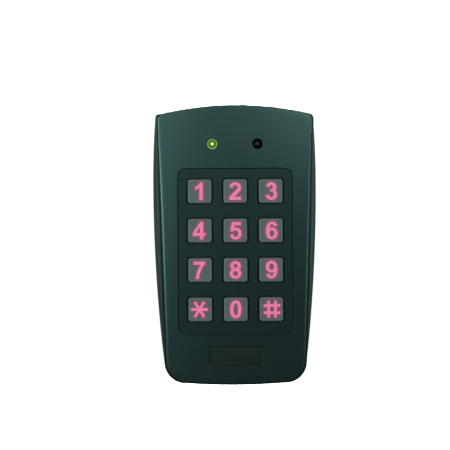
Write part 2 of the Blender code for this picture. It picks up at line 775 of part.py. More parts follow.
def antenna_coil():
    """The reader's pick-up coil, one bundled loop of enamelled wire behind the board."""
    width, height, corner = 50 * MM, 84 * MM, 5 * MM
    loop = []
    for quarter in range(4):
        across = 1 if quarter in (0, 3) else -1
        up = 1 if quarter in (0, 1) else -1
        for angle in spread(quarter * math.pi / 2, (quarter + 1) * math.pi / 2, 4):
            x = across * (width / 2 - corner) + corner * math.cos(angle)
            z = BOARD_Z + up * (height / 2 - corner) + corner * math.sin(angle)
            loop.append(Vector((x, -(BOARD_BACK - GAP - COIL_RADIUS), z)))
    wire_curve("antenna_coil", loop, COIL_RADIUS, COPPER, closed=True)


# ---------------------------------------------------------------- rear cover, gasket and back plate


def rear_cover():
    back, front = REAR_COVER
    cover = flat_plate("rear_cover", [section(LEDGE_DEPTH, REAR_COVER_INSET)], REAR_COVER, INNER_PLASTIC)
    holes = bmesh.new()
    through = (back - MM, front + MM)
    for place in mirrored(REAR_SCREWS):
        drum(holes, place, through, 1.6 * MM)
    drum(holes, (0, CABLE_Z), through, GROMMET_NECK + 0.25 * MM)
    drum(holes, TAMPER_PLACE, through, TAMPER_WINDOW[0])
    apply_boolean(cover, "DIFFERENCE", make_cutter("rear_cover_holes", holes))
    profile = screw_profile(2.6 * MM, 1.7 * MM, SCREW_SHANK, REAR_SCREW_LENGTH)
    for number, (x, z) in enumerate(mirrored(REAR_SCREWS), 1):
        turned(f"cover_screw_{number}", profile, STEEL, (x, -(back - ADHESIVE), z), steps=12)


def cover_gasket():
    """A flat rubber ring squeezed between the rear cover and the step inside the front cover."""
    depths = (REAR_COVER[1] + ADHESIVE, LEDGE_DEPTH - ADHESIVE)
    outlines = [section(LEDGE_DEPTH, inset) for inset in (REAR_COVER_INSET, UPPER_WALL)]
    flat_plate("cover_gasket", outlines, depths, GASKET_RUBBER)


def back_plate():
    """The plate screwed to the wall, with two hooks at the top and a block for the security screw."""
    front = BACK_PLATE_THICKNESS
    plate = flat_plate("back_plate", [section(0, BACK_PLATE_INSET)], (0, front), INNER_PLASTIC)
    fittings, lips, holes, sinks = (bmesh.new() for _ in range(4))
    root = front - MM
    for side in (-1, 1):
        x = side * HOOK_X
        half = HOOK_WIDTH / 2
        box(fittings, (x - half, root, HOOK_ROOT - 3 * MM), (x + half, HOOK_LIP[1], HOOK_ROOT + 0.2 * MM))
        box(lips, (x - half, HOOK_LIP[0], HOOK_ROOT - 2 * MM), (x + half, HOOK_LIP[1], HOOK_TOP))
    width, height, depth = LOCK_BLOCK
    box(fittings, (-width / 2, root, LOCK_BLOCK_FOOT), (width / 2, depth, LOCK_BLOCK_FOOT + height))
    through = (-MM, front + MM)
    slope = WALL_HOLE_SINK - WALL_HOLE_RADIUS
    for place in mirrored((WALL_HOLES, (WALL_HOLES[0], -WALL_HOLES[1]))):
        drum(holes, place, through, WALL_HOLE_RADIUS)
        drum(sinks, place, (front - slope, front + MM), WALL_HOLE_RADIUS, WALL_HOLE_SINK + MM)
    drum(holes, (0, CABLE_Z), through, CABLE_OPENING_RADIUS, steps=24)
    drum(holes, TAMPER_PLACE, through, TAMPER_WINDOW[1])
    top = (0, -LOCK_DEPTH, LOCK_BLOCK_FOOT + INSERT_LENGTH + 1.2 * MM)
    foot = (0, -LOCK_DEPTH, LOCK_BLOCK_FOOT - MM)
    cone(holes, top, foot, INSERT_RADII[0] + 0.2 * MM, INSERT_RADII[0] + 0.2 * MM)
    apply_boolean(plate, "UNION", make_cutter("plate_fittings", fittings))
    apply_boolean(plate, "UNION", make_cutter("plate_lips", lips))
    apply_boolean(plate, "DIFFERENCE", make_cutter("plate_holes", holes))
    apply_boolean(plate, "DIFFERENCE", make_cutter("plate_sinks", sinks))


def security_screw():
    """The screw that locks the reader on its back plate, and the brass insert that takes it."""
    profile = screw_profile(LOCK_HEAD[0], LOCK_HEAD[1], LOCK_SHANK, LOCK_LENGTH)
    turned("security_screw", profile, STEEL, (0, -LOCK_DEPTH, LOCK_SEAT), facing="up")
    outer, inner = INSERT_RADII
    half = INSERT_LENGTH / 2
    ring = [(outer, half), (outer, -half), (inner, -half), (inner, half)]
    middle = (0, -LOCK_DEPTH, LOCK_BLOCK_FOOT + half + 0.6 * MM)
    turned("screw_insert", ring, BRASS, middle, closed=True, facing="up")


# ---------------------------------------------------------------- cable


def cable_grommet():
    """A rubber bush in the rear cover, with a flange on each side of the sheet."""
    back, front = (REAR_COVER[0] - 0.15 * MM, REAR_COVER[1] + 0.15 * MM)
    flange, lip, round_over = 5.3 * MM, 0.9 * MM, 0.3 * MM
    hole = JACKET_RADII[0] + ADHESIVE
    ring = [
        (hole, front + lip),
        (flange - round_over, front + lip),
        (flange, front),
        (GROMMET_NECK, front),
        (GROMMET_NECK, back),
        (flange, back),
        (flange - round_over, back - lip),
        (hole, back - lip),
    ]
    turned("cable_grommet", ring, GASKET_RUBBER, (0, 0, CABLE_Z), closed=True, steps=20)


def cable_jacket():
    outer, inner = JACKET_RADII
    low, high = JACKET_ENDS
    ring = [(outer, high), (outer, low), (inner, low), (inner, high)]
    turned("cable_jacket", ring, GASKET_RUBBER, (0, 0, CABLE_Z), closed=True, steps=20)


def wire_path(number, count):
    """Centre line of one conductor, from its header pin, round the bend and out of the jacket."""
    ring_slots = (180, 120, 240, 60, 300, 0)  # degrees round the bundle, in header order
    angle = math.radians(ring_slots[number])
    across, outward = WIRE_RING * math.cos(angle), WIRE_RING * math.sin(angle)
    pin_x = (number - (count - 1) / 2) * HEADER_PITCH
    start_z = HEADER_Z + HEADER_HEIGHT / 2 + GAP
    bend_z = CABLE_Z - WIRE_BEND
    points = []
    for share in spread(0, 1, 5):
        ease = share * share * (3 - 2 * share)
        x = pin_x + (across - pin_x) * ease
        points.append((x, -(WIRE_DEPTH + outward * ease), start_z + (bend_z - start_z) * share))
    reach = WIRE_BEND + outward
    for turn in spread(0, math.pi / 2, 5)[1:]:
        depth = WIRE_DEPTH - WIRE_BEND + reach * math.cos(turn)
        points.append((across, -depth, bend_z + reach * math.sin(turn)))
    mouth = JACKET_ENDS[0]
    fan = 1.0 + 0.9 * (1 + math.cos(3 * angle)) / 2
    for depth, apart in ((mouth, 1.0), (mouth - WIRE_TAIL / 2, 1.3 * fan), (mouth - WIRE_TAIL, 1.6 * fan)):
        points.append((across * apart, -depth, CABLE_Z + outward * apart))
    return points


def wires():
    for number, (colour, shade) in enumerate(WIRE_COLOURS.items()):
        insulation = make_material(f"wire_{colour}_insulation", shade, 0.45)
        path = wire_path(number, len(WIRE_COLOURS))
        wire_curve(f"wire_{colour}", path, WIRE_RADIUS, insulation, resolution=1)


front_cover()
badge_plate()
keys()
keypad_mat()
main_board()
board_components()
antenna_coil()
rear_cover()
cover_gasket()
back_plate()
security_screw()
cable_grommet()
cable_jacket()
wires()
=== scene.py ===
import math

import bmesh
import bpy
from mathutils import Matrix, Quaternion, Vector
from mathutils.kdtree import KDTree


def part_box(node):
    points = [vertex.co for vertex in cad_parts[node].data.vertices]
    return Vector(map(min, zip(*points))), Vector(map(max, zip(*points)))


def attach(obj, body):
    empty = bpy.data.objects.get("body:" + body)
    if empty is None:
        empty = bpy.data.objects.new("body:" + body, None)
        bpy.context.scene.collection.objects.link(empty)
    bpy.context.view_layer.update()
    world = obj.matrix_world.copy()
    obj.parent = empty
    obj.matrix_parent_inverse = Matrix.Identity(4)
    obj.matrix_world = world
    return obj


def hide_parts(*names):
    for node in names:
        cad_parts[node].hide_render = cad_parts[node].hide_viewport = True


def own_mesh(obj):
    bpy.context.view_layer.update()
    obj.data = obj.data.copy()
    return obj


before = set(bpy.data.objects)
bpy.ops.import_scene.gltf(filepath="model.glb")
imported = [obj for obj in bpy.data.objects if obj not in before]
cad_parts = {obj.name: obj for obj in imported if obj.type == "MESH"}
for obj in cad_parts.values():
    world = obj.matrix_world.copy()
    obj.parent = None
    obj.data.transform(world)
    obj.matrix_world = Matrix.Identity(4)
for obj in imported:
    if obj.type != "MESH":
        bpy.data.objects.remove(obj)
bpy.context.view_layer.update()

# Looks for a wall-mounted keypad access reader. Metres, +Z up, +X right, front towards -Y.
# A depth is the distance forward from the wall plane, so depth d lies at y = -d.
MM = 0.001


def node_box(node):
    """A CAD node's box as (left, right, back depth, front depth, foot, top)."""
    low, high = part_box(node)
    return low.x, high.x, -high.y, -low.y, low.z, high.z


def centre_of(node):
    """A CAD node's centre as (x, z)."""
    left, right, _, _, foot, top = node_box(node)
    return (left + right) / 2, (foot + top) / 2


# ---------------------------------------------------------------- sizes

_, _, RIM_DEPTH, _, FOOT, TOP = node_box("front_cover")
HALF_WIDTH = node_box("front_cover")[1]
FACE_CREST = 26.5 * MM
WIDEST_Z = 30 * MM
RIM_UPPER_RADIUS = 445 * MM
RIM_LOWER_RADIUS = 776 * MM
FACE_MID_HALF_WIDTH = 36.8 * MM
FACE_TAPER = 0.034
FACE_SIDE_RADIUS = 2170 * MM
TOP_ARC_RADIUS = 150 * MM
FOOT_ARC_RADIUS = 320 * MM
RIM_CORNERS = (1.8 * MM, 10.5 * MM)
FACE_CORNERS = (2.6 * MM, 10.0 * MM)
LEAST_CORNER = 0.3 * MM
FACE_DROP = 1.8 * MM
SKIRT_DEPTH = 4 * MM
EDGE_DEPTH = 23 * MM
EDGE_RADII = (2.8 * MM, 0.7 * MM, 1.0 * MM)  # side at mid height, top, foot
EDGE_FADE_RADIUS = 1350 * MM
CROWN_RADIUS_X = 685 * MM
CROWN_RADIUS_Z = 1322 * MM
SIDE_WALL = 2.2 * MM
UPPER_WALL = 3.8 * MM
FACE_WALL = 2.4 * MM
LEDGE_DEPTH = 10.2 * MM

KEY_NAMES = ("1", "2", "3", "4", "5", "6", "7", "8", "9", "star", "0", "hash")
KEY_HOLE = 12.6 * MM
KEY_HOLE_CORNER = 1.6 * MM
PANEL_SIZE = (55.4 * MM, 80.0 * MM)
PANEL_Z = -3.3 * MM
PANEL_CORNER = 4.2 * MM
PANEL_FLOOR = 24.9 * MM
PANEL_BACK = 23.1 * MM
GROOVE = (0.42 * MM, 0.8 * MM)  # width and depth
LED_HOLE = 4.9 * MM
BADGE_POCKET = (25.6 * MM, 9.5 * MM)
BADGE_CORNER = 0.8 * MM
BADGE_FLOOR = 24.4 * MM

TOP_STEPS, CORNER_STEPS, SIDE_STEPS, FOOT_STEPS = 20, 10, 44, 18


# ---------------------------------------------------------------- plan outlines


def arc_sag(distance, radius):
    """How far an arc falls away from its tangent, at this distance along the tangent."""
    return radius - math.sqrt(radius * radius - distance * distance)


def spread(start, end, count):
    """count evenly spaced values from start to end, both included."""
    return [start + (end - start) * i / (count - 1) for i in range(count)]


def rim_half_width(z):
    radius = RIM_UPPER_RADIUS if z > WIDEST_Z else RIM_LOWER_RADIUS
    return HALF_WIDTH - arc_sag(z - WIDEST_Z, radius)


def face_half_width(z):
    return FACE_MID_HALF_WIDTH + FACE_TAPER * z - arc_sag(z, FACE_SIDE_RADIUS)


def rounded_corner(corner, into, out_of, radius):
    """Points of the arc that rounds a corner, between the unit directions into and out of it."""
    turn = into.angle_signed(out_of)
    start = corner - into * radius * math.tan(abs(turn) / 2)
    centre = start + Vector((into.y, -into.x)) * radius * math.copysign(1, turn)
    arm = start - centre
    return [
        centre + Matrix.Rotation(-turn * i / CORNER_STEPS, 2) @ arm
        for i in range(CORNER_STEPS + 1)
    ]


def meeting_point(side_x, edge_z, z):
    """Where a side x(z) meets a top or foot edge z(x), starting from a height near it."""
    for _ in range(30):
        z = edge_z(side_x(z))
    return Vector((side_x(z), z))


def outline(half_width, top, foot, corners):
    """A closed plan outline as (x, z) points, clockwise from the top centre as seen from the front."""

    def top_z(x):
        return top - arc_sag(x, TOP_ARC_RADIUS)

    def foot_z(x):
        return foot + arc_sag(x, FOOT_ARC_RADIUS)

    step = 0.1 * MM
    upper = meeting_point(half_width, top_z, top)
    lower = meeting_point(half_width, foot_z, foot)
    along_top = Vector((step, top_z(upper.x) - top_z(upper.x - step))).normalized()
    down_upper = Vector((half_width(upper.y - step) - half_width(upper.y), -step)).normalized()
    down_lower = Vector((half_width(lower.y) - half_width(lower.y + step), -step)).normalized()
    along_foot = Vector((-step, foot_z(lower.x - step) - foot_z(lower.x))).normalized()
    upper_arc = rounded_corner(upper, along_top, down_upper, corners[0])
    lower_arc = rounded_corner(lower, down_lower, along_foot, corners[1])
    half = [Vector((x, top_z(x))) for x in spread(0, upper_arc[0].x, TOP_STEPS)[:-1]]
    half += upper_arc
    half += [
        Vector((half_width(z), z))
        for z in spread(upper_arc[-1].y, lower_arc[0].y, SIDE_STEPS)[1:-1]
    ]
    half += lower_arc
    half += [Vector((x, foot_z(x))) for x in spread(lower_arc[-1].x, 0, FOOT_STEPS)[1:]]
    return half + [Vector((-p.x, p.y)) for p in reversed(half[1:-1])]


def shrunk(corners, inset):
    """Corner radii of an outline that lies inset inside another."""
    return [max(radius - inset, LEAST_CORNER) for radius in corners]


def rim_outline(inset):
    corners = shrunk(RIM_CORNERS, inset)
    return outline(lambda z: rim_half_width(z) - inset, TOP - inset, FOOT + inset, corners)


def face_outline(inset):
    top, foot = TOP - FACE_DROP - inset, FOOT + FACE_DROP + inset
    return outline(lambda z: face_half_width(z) - inset, top, foot, shrunk(FACE_CORNERS, inset))


def section(depth, inset):
    """The cover's plan outline at a depth, inset all round."""
    share = min(max((depth - SKIRT_DEPTH) / (EDGE_DEPTH - SKIRT_DEPTH), 0.0), 1.0)
    return [a.lerp(b, share) for a, b in zip(rim_outline(inset), face_outline(inset))]


def side_edge_radius(z):
    """The rounding of the front edge along the sides, widest at mid height."""
    return EDGE_RADII[0] - arc_sag(z, EDGE_FADE_RADIUS)


def edge_outline(lost):
    """The front edge part-way round its rounding, where this share of the radius is lost to the sides."""
    top, foot = (radius * lost for radius in EDGE_RADII[1:])
    return outline(
        lambda z: face_half_width(z) - lost * side_edge_radius(z),
        TOP - FACE_DROP - top,
        FOOT + FACE_DROP + foot,
        shrunk(FACE_CORNERS, top),
    )


def edge_radii(points):
    """The rounding radius of the front edge at each point of an outline."""
    top, foot = EDGE_RADII[1:]
    arc = CORNER_STEPS + 1
    half = points[: len(points) // 2 + 1]
    sides = [side_edge_radius(p.y) for p in half[TOP_STEPS - 1 + arc : -(FOOT_STEPS - 1 + arc)]]
    radii = [top] * (TOP_STEPS - 1) + spread(top, sides[0], arc) + sides
    radii += spread(sides[-1], foot, arc) + [foot] * (FOOT_STEPS - 1)
    return radii + list(reversed(radii[1:-1]))


def face_depth(point):
    """Depth of the crowned front face over a plan point."""
    return FACE_CREST - arc_sag(point.x, CROWN_RADIUS_X) - arc_sag(point.y, CROWN_RADIUS_Z)


def rounded_outline(size, radius, centre=(0, 0), corner_steps=6, side_steps=(1, 1)):
    """A rounded rectangle as (x, z) points; side_steps divides its flat and its upright sides."""
    width, height = size
    arcs = []
    for quarter, (right, up) in enumerate(((1, 1), (-1, 1), (-1, -1), (1, -1))):
        middle = Vector((right * (width / 2 - radius), up * (height / 2 - radius)))
        angles = spread(quarter * math.pi / 2, (quarter + 1) * math.pi / 2, corner_steps + 1)
        arcs.append([middle + Vector((math.cos(a), math.sin(a))) * radius for a in angles])
    points = []
    for number, arc in enumerate(arcs):
        end = arcs[(number + 1) % 4][0]
        count = side_steps[number % 2]
        points += arc + [arc[-1].lerp(end, i / count) for i in range(1, count)]
    return [p + Vector(centre) for p in points]


def disc_outline(radius, centre, steps=48):
    turns = [2 * math.pi * i / steps for i in range(steps)]
    return [Vector((centre[0] + radius * math.cos(a), centre[1] + radius * math.sin(a))) for a in turns]


# ---------------------------------------------------------------- meshes


def level(points, depth):
    return [Vector((p.x, -depth, p.y)) for p in points]


def loft(bm, rings):
    """Joins rings of equally many points into a closed skin, with a cap on the first and the last ring."""
    made = [[bm.verts.new(point) for point in ring] for ring in rings]
    bm.faces.new(made[0])
    bm.faces.new(made[-1])
    for lower, upper in zip(made, made[1:]):
        for i in range(len(lower)):
            j = (i + 1) % len(lower)
            bm.faces.new((lower[i], lower[j], upper[j], upper[i]))
    return bm


def rod(bm, start, end, start_radius, end_radius=None, steps=32):
    """A cylinder or cone between two points."""
    axis = Vector(end) - Vector(start)
    turn = axis.to_track_quat("Z", "Y").to_matrix().to_4x4()
    bmesh.ops.create_cone(
        bm,
        cap_ends=True,
        segments=steps,
        radius1=start_radius,
        radius2=start_radius if end_radius is None else end_radius,
        depth=axis.length,
        matrix=Matrix.Translation((Vector(start) + Vector(end)) / 2) @ turn,
    )


def revolve(bm, profile, origin, axis, steps=48):
    """A turned solid from (radius, height) points; points of zero radius become poles."""
    turn = Vector(axis).to_track_quat("Z", "Y").to_matrix()
    rings = []
    for radius, height in profile:
        if radius < 1e-9:
            rings.append([bm.verts.new(Vector(origin) + turn @ Vector((0, 0, height)))])
            continue
        ring = []
        for i in range(steps):
            angle = 2 * math.pi * i / steps
            spoke = Vector((radius * math.cos(angle), radius * math.sin(angle), height))
            ring.append(bm.verts.new(Vector(origin) + turn @ spoke))
        rings.append(ring)
    for lower, upper in zip(rings, rings[1:]):
        for i in range(steps):
            j = (i + 1) % steps
            corners = [lower[i % len(lower)], lower[j % len(lower)], upper[j % len(upper)], upper[i % len(upper)]]
            bm.faces.new(list(dict.fromkeys(corners)))
    return bm


def to_object(name, bm, sharp=30):
    """The bmesh as an object, shaded smooth across edges flatter than the sharp angle in degrees."""
    bmesh.ops.recalc_face_normals(bm, faces=bm.faces)
    mesh = bpy.data.meshes.new(name)
    bm.to_mesh(mesh)
    bm.free()
    smooth(mesh, sharp)
    obj = bpy.data.objects.new(name, mesh)
    bpy.context.scene.collection.objects.link(obj)
    return obj


def smooth(mesh, sharp):
    mesh.shade_smooth()
    mesh.set_sharp_from_angle(angle=math.radians(sharp))


def cut(obj, steps, sharp=30):
    """Applies Boolean steps, each (operation, bmesh, whether its solids meet each other)."""
    for operation, bm, meets in steps:
        tool = to_object(f"{obj.name}_tool", bm)
        modifier = obj.modifiers.new("cut", "BOOLEAN")
        modifier.operation = operation
        modifier.object = tool
        modifier.solver = "EXACT"
        modifier.use_self = meets
        bake(obj)
        bpy.data.objects.remove(tool)
    smooth(obj.data, sharp)
    return obj


def bake(obj):
    """Applies the object's modifiers to its mesh."""
    bpy.context.view_layer.update()
    evaluated = obj.evaluated_get(bpy.context.evaluated_depsgraph_get())
    mesh = bpy.data.meshes.new_from_object(evaluated)
    obj.modifiers.clear()
    obj.data = mesh
    mesh.name = obj.name


def place(obj, body, material, replaces=()):
    """Gives a piece its material, the body it rides on and the CAD nodes it stands for."""
    obj.data.materials.clear()
    obj.data.materials.append(material)
    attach(obj, body)
    if replaces:
        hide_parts(*replaces)
    return obj


# ---------------------------------------------------------------- materials


class Shader:
    """A node material that is built up step by step around one Principled BSDF."""

    def __init__(self, name):
        self.material = bpy.data.materials.new(name)
        self.material.use_nodes = True
        self.tree = self.material.node_tree
        self.bsdf = self.tree.nodes["Principled BSDF"]
        self.coords = self.node("ShaderNodeTexCoord").outputs["Object"]

    def node(self, kind, **settings):
        made = self.tree.nodes.new(kind)
        for name, value in settings.items():
            setattr(made, name, value)
        return made

    def link(self, source, target):
        self.tree.links.new(source, target)

    def feed(self, socket, value):
        """Sets a socket to a number or colour, or links it."""
        if isinstance(value, bpy.types.NodeSocket):
            self.link(value, socket)
        else:
            socket.default_value = value

    def set(self, name, value):
        self.feed(self.bsdf.inputs[name], value)
        return self

    def noise(self, scale, detail=2.0, roughness=0.5, stretch=None):
        made = self.node("ShaderNodeTexNoise")
        made.inputs["Scale"].default_value = scale
        made.inputs["Detail"].default_value = detail
        made.inputs["Roughness"].default_value = roughness
        self.link(self.stretched(stretch) if stretch else self.coords, made.inputs["Vector"])
        return made.outputs["Fac"]

    def stretched(self, factors):
        made = self.node("ShaderNodeMapping")
        made.inputs["Scale"].default_value = factors
        self.link(self.coords, made.inputs["Vector"])
        return made.outputs["Vector"]

    def cells(self, scale, feature="F1", stretch=None):
        made = self.node("ShaderNodeTexVoronoi", feature=feature)
        made.inputs["Scale"].default_value = scale
        self.link(self.stretched(stretch) if stretch else self.coords, made.inputs["Vector"])
        return made.outputs["Distance"]

    def remap(self, value, low, high, to_low, to_high):
        made = self.node("ShaderNodeMapRange")
        self.feed(made.inputs["Value"], value)
        for name, number in (("From Min", low), ("From Max", high), ("To Min", to_low), ("To Max", to_high)):
            made.inputs[name].default_value = number
        return made.outputs["Result"]

    def math(self, operation, first, second=0.0):
        made = self.node("ShaderNodeMath", operation=operation)
        self.feed(made.inputs[0], first)
        self.feed(made.inputs[1], second)
        return made.outputs["Value"]

    def mix(self, share, first, second):
        made = self.node("ShaderNodeMix", data_type="RGBA")
        self.feed(made.inputs["Factor"], share)
        colours = [socket for socket in made.inputs if socket.type == "RGBA"]
        for socket, value in zip(colours, (first, second)):
            self.feed(socket, value if isinstance(value, bpy.types.NodeSocket) else (*value, 1.0))
        return next(socket for socket in made.outputs if socket.type == "RGBA")

    def bump(self, layers):
        """Stacks bumps given as (height, strength, distance)."""
        normal = None
        for height, strength, distance in layers:
            made = self.node("ShaderNodeBump")
            made.inputs["Strength"].default_value = strength
            made.inputs["Distance"].default_value = distance
            self.link(height, made.inputs["Height"])
            if normal is not None:
                self.link(normal, made.inputs["Normal"])
            normal = made.outputs["Normal"]
        self.link(normal, self.bsdf.inputs["Normal"])
        return self

    def axis(self, name):
        made = self.node("ShaderNodeSeparateXYZ")
        self.link(self.coords, made.inputs["Vector"])
        return made.outputs[name]


def moulded(name, base, roughness, grain=2600, depth=0.02, edge_highlight=None, strength=0.35):
    """Moulded plastic with a fine spark-eroded grain, faint flow mottling and, when an edge colour is given, a painted
    highlight that lightens the sharper edges.
    """
    shader = Shader(name)
    cloud = shader.remap(shader.noise(55, 4), 0.3, 0.7, 0.0, 1.0)
    dark = [channel * 0.88 for channel in base]
    light = [channel * 1.12 for channel in base]
    colour = shader.mix(cloud, dark, light)
    if edge_highlight is not None:
        # painted highlight: convex edges are painted towards the lighter edge colour
        edge = shader.node("ShaderNodeNewGeometry").outputs["Pointiness"]
        colour = shader.mix(shader.remap(edge, 0.52, 0.62, 0.0, 0.6), colour, edge_highlight)
    grain_height = shader.noise(grain, 3, 0.6)
    pits = shader.cells(grain * 0.6, "SMOOTH_F1")
    rough = shader.remap(shader.noise(grain * 0.4, 2), 0.3, 0.7, roughness - 0.012, roughness + 0.015)
    shader.set("Base Color", colour).set("Roughness", rough)
    shader.bump([(grain_height, strength, depth * MM), (pits, strength * 0.6, depth * MM)])
    return shader


def cover_material():
    """The housing's plastic; inside the keypad panel it is coloured slightly darker and bluer, and its reflections are
    tinted a little darker and bluer.
    """
    # the second colour is the painted highlight along the cover's edges
    base, edge_highlight = (0.0034, 0.0086, 0.0079), (0.012, 0.028, 0.026)
    shader = moulded("cover_plastic", base, 0.31, edge_highlight=edge_highlight, strength=0.16)
    across = shader.math("DIVIDE", shader.math("ABSOLUTE", shader.axis("X")), PANEL_SIZE[0] / 2)
    height = shader.math("ABSOLUTE", shader.math("SUBTRACT", shader.axis("Z"), PANEL_Z))
    upright = shader.math("DIVIDE", height, PANEL_SIZE[1] / 2)
    inside = shader.remap(shader.math("MAXIMUM", across, upright), 0.985, 1.0, 1.0, 0.0)
    plastic = shader.bsdf.inputs["Base Color"].links[0].from_socket
    shader.set("Base Color", shader.mix(inside, plastic, (0.0026, 0.0066, 0.0063)))
    shader.set("Specular Tint", shader.mix(inside, (0.45, 1.0, 0.95), (0.40, 0.88, 0.88)))
    return shader.material


def badge_material():
    shader = moulded("badge_plastic", (0.0030, 0.0044, 0.0038), 0.66, grain=4200, depth=0.008)
    shader.set("Specular Tint", (0.6, 1.0, 0.85, 1.0)).set("Specular IOR Level", 0.25)
    return shader.material


def key_material():
    """Grey-green translucent caps with an even painted glow for the light from behind, painted pink light round the
    legend, a painted highlight round the rim of each top and painted shade down the sides in the gap.
    """
    shader = moulded("key_plastic", (0.021, 0.039, 0.036), 0.5, grain=3200, depth=0.01)
    glow = shader.node("ShaderNodeAttribute", attribute_name="glow").outputs["Fac"]
    base = shader.bsdf.inputs["Base Color"].links[0].from_socket
    depth = shader.axis("Y")
    # painted light: near the legend the cap's colour is tinted pink, as if lit by the legend
    tinted = shader.mix(glow, base, (0.10, 0.022, 0.055))
    # painted shade: below its top the cap's sides are painted near-black, for the shade in the gap round the key
    shader.set("Base Color", shader.mix(shader.remap(depth, 0.25 * MM, 0.5 * MM, 0.0, 1.0), tinted, (0.004, 0.006, 0.006)))
    # painted highlight: the glow is painted lighter near the rim of the cap's top
    reach = [shader.math("ABSOLUTE", shader.axis(name)) for name in ("X", "Z")]
    edge = shader.remap(shader.math("MAXIMUM", *reach), 4.6 * MM, 5.4 * MM, 0.0, 1.0)
    lit = shader.mix(edge, (0.018, 0.036, 0.029), (0.040, 0.062, 0.054))
    # painted glow: the cap tops emit a faint grey-green light, pink near the legend
    shader.set("Emission Color", shader.mix(glow, lit, (0.13, 0.02, 0.068)))
    shader.set("Emission Strength", shader.remap(depth, 0.1 * MM, 0.35 * MM, 1.0, 0.0))
    return shader.material


def legend_material():
    shader = Shader("legend_pink")
    patch = shader.remap(shader.noise(900, 2), 0.3, 0.7, 0.0, 1.0)
    shader.set("Base Color", shader.mix(patch, (0.36, 0.055, 0.15), (0.42, 0.075, 0.18)))
    shader.set("Emission Color", shader.mix(patch, (0.38, 0.085, 0.185), (0.46, 0.115, 0.23)))
    # painted glow: the legends emit light, standing for the backlight shining through them
    shader.set("Emission Strength", 0.95)
    shader.set("Roughness", shader.remap(shader.noise(3000, 2), 0.3, 0.7, 0.45, 0.6))
    return shader.material


def radial(shader):
    """Distance from the piece's own front-to-back axis."""
    squares = [shader.math("POWER", shader.axis(name), 2.0) for name in ("X", "Z")]
    return shader.math("SQRT", shader.math("ADD", *squares))


def lit_lens_material():
    """A lit lamp looked at from the front: a hot centre, a darker band and a bright rim."""
    shader = Shader("green_lens")
    ramp = shader.node("ShaderNodeValToRGB")
    shader.link(shader.remap(radial(shader), 0.0, 2.5 * MM, 0.0, 1.0), ramp.inputs["Fac"])
    stops = (
        (0.00, (0.62, 1.0, 0.28)),
        (0.22, (0.58, 1.0, 0.24)),
        (0.40, (0.03, 0.12, 0.001)),
        (0.74, (0.02, 0.09, 0.001)),
        (0.84, (0.30, 0.52, 0.15)),
        (0.94, (0.34, 0.55, 0.18)),
    )
    while len(ramp.color_ramp.elements) < len(stops):
        ramp.color_ramp.elements.new(0.5)
    for element, (position, colour) in zip(ramp.color_ramp.elements, stops):
        element.position = position
        element.color = (*colour, 1.0)
    front = shader.remap(shader.axis("Y"), -5.5 * MM, -4.5 * MM, 1.0, 0.15)
    shader.set("Base Color", (0.01, 0.05, 0.003, 1.0))
    shader.set("Emission Color", ramp.outputs["Color"])
    shader.set("Emission Strength", front)
    shader.set("Roughness", shader.remap(shader.noise(1500, 2), 0.3, 0.7, 0.12, 0.2))
    return shader.material


def dark_lens_material():
    """An unlit lamp of deep smoked red, its centre painted a little lighter and redder as a painted glint."""
    shader = Shader("smoked_lens")
    painted_glint = shader.remap(radial(shader), 0.0, 2.2 * MM, 0.0, 1.0)
    # painted glint: the lens's centre is painted lighter and redder than its rim
    shader.set("Base Color", shader.mix(painted_glint, (0.008, 0.005, 0.004), (0.001, 0.002, 0.002)))
    shader.set("Roughness", shader.remap(shader.noise(1500, 2), 0.3, 0.7, 0.30, 0.40))
    shader.set("Specular IOR Level", 0.18)
    return shader.material


def rubber(name, base, roughness=0.7, grain=1800):
    """Soft rubber: matt, faintly dusty and slightly uneven."""
    shader = Shader(name)
    dust = shader.remap(shader.noise(400, 5, 0.65), 0.35, 0.75, 0.0, 1.0)
    shader.set("Base Color", shader.mix(dust, base, [channel * 1.5 + 0.004 for channel in base]))
    shader.set("Roughness", shader.remap(shader.noise(grain, 3), 0.3, 0.7, roughness - 0.08, roughness + 0.1))
    shader.bump([(shader.noise(grain, 4, 0.7), 0.3, 0.02 * MM), (shader.noise(140, 2), 0.2, 0.05 * MM)])
    return shader.material


def silicone():
    """Milky silicone rubber, slightly see-through."""
    shader = Shader("mat_rubber")
    cloud = shader.remap(shader.noise(220, 3), 0.3, 0.7, 0.0, 1.0)
    shader.set("Base Color", shader.mix(cloud, (0.42, 0.43, 0.42), (0.50, 0.51, 0.50)))
    shader.set("Roughness", shader.remap(shader.noise(1600, 3), 0.3, 0.7, 0.42, 0.6))
    shader.set("Subsurface Weight", 0.25).set("Subsurface Radius", (0.0012, 0.0011, 0.001))
    shader.bump([(shader.noise(2600, 3), 0.2, 0.01 * MM)])
    return shader.material


def metal(name, base, roughness, stretch=(1, 1, 1), grain=900):
    """Bare metal with fine tool marks and slight tarnish."""
    shader = Shader(name)
    tarnish = shader.remap(shader.noise(260, 4, 0.6), 0.35, 0.7, 0.0, 1.0)
    shader.set("Base Color", shader.mix(tarnish, base, [channel * 0.72 for channel in base]))
    shader.set("Metallic", 1.0)
    marks = shader.noise(grain, 3, 0.6, stretch)
    shader.set("Roughness", shader.remap(marks, 0.3, 0.7, roughness - 0.06, roughness + 0.12))
    shader.bump([(marks, 0.25, 0.01 * MM)])
    return shader.material


def enamelled_copper():
    """A wound coil: fine strands of copper under a clear enamel."""
    shader = Shader("coil_copper")
    strands = shader.noise(5200, 2, 0.5, (1, 1, 0.6))
    shader.set("Base Color", shader.mix(shader.remap(strands, 0.35, 0.65, 0.0, 1.0), (0.42, 0.13, 0.04), (0.66, 0.24, 0.09)))
    shader.set("Metallic", 0.85).set("Coat Weight", 0.4)
    shader.set("Roughness", shader.remap(strands, 0.3, 0.7, 0.25, 0.4))
    shader.bump([(strands, 0.6, 0.05 * MM)])
    return shader.material


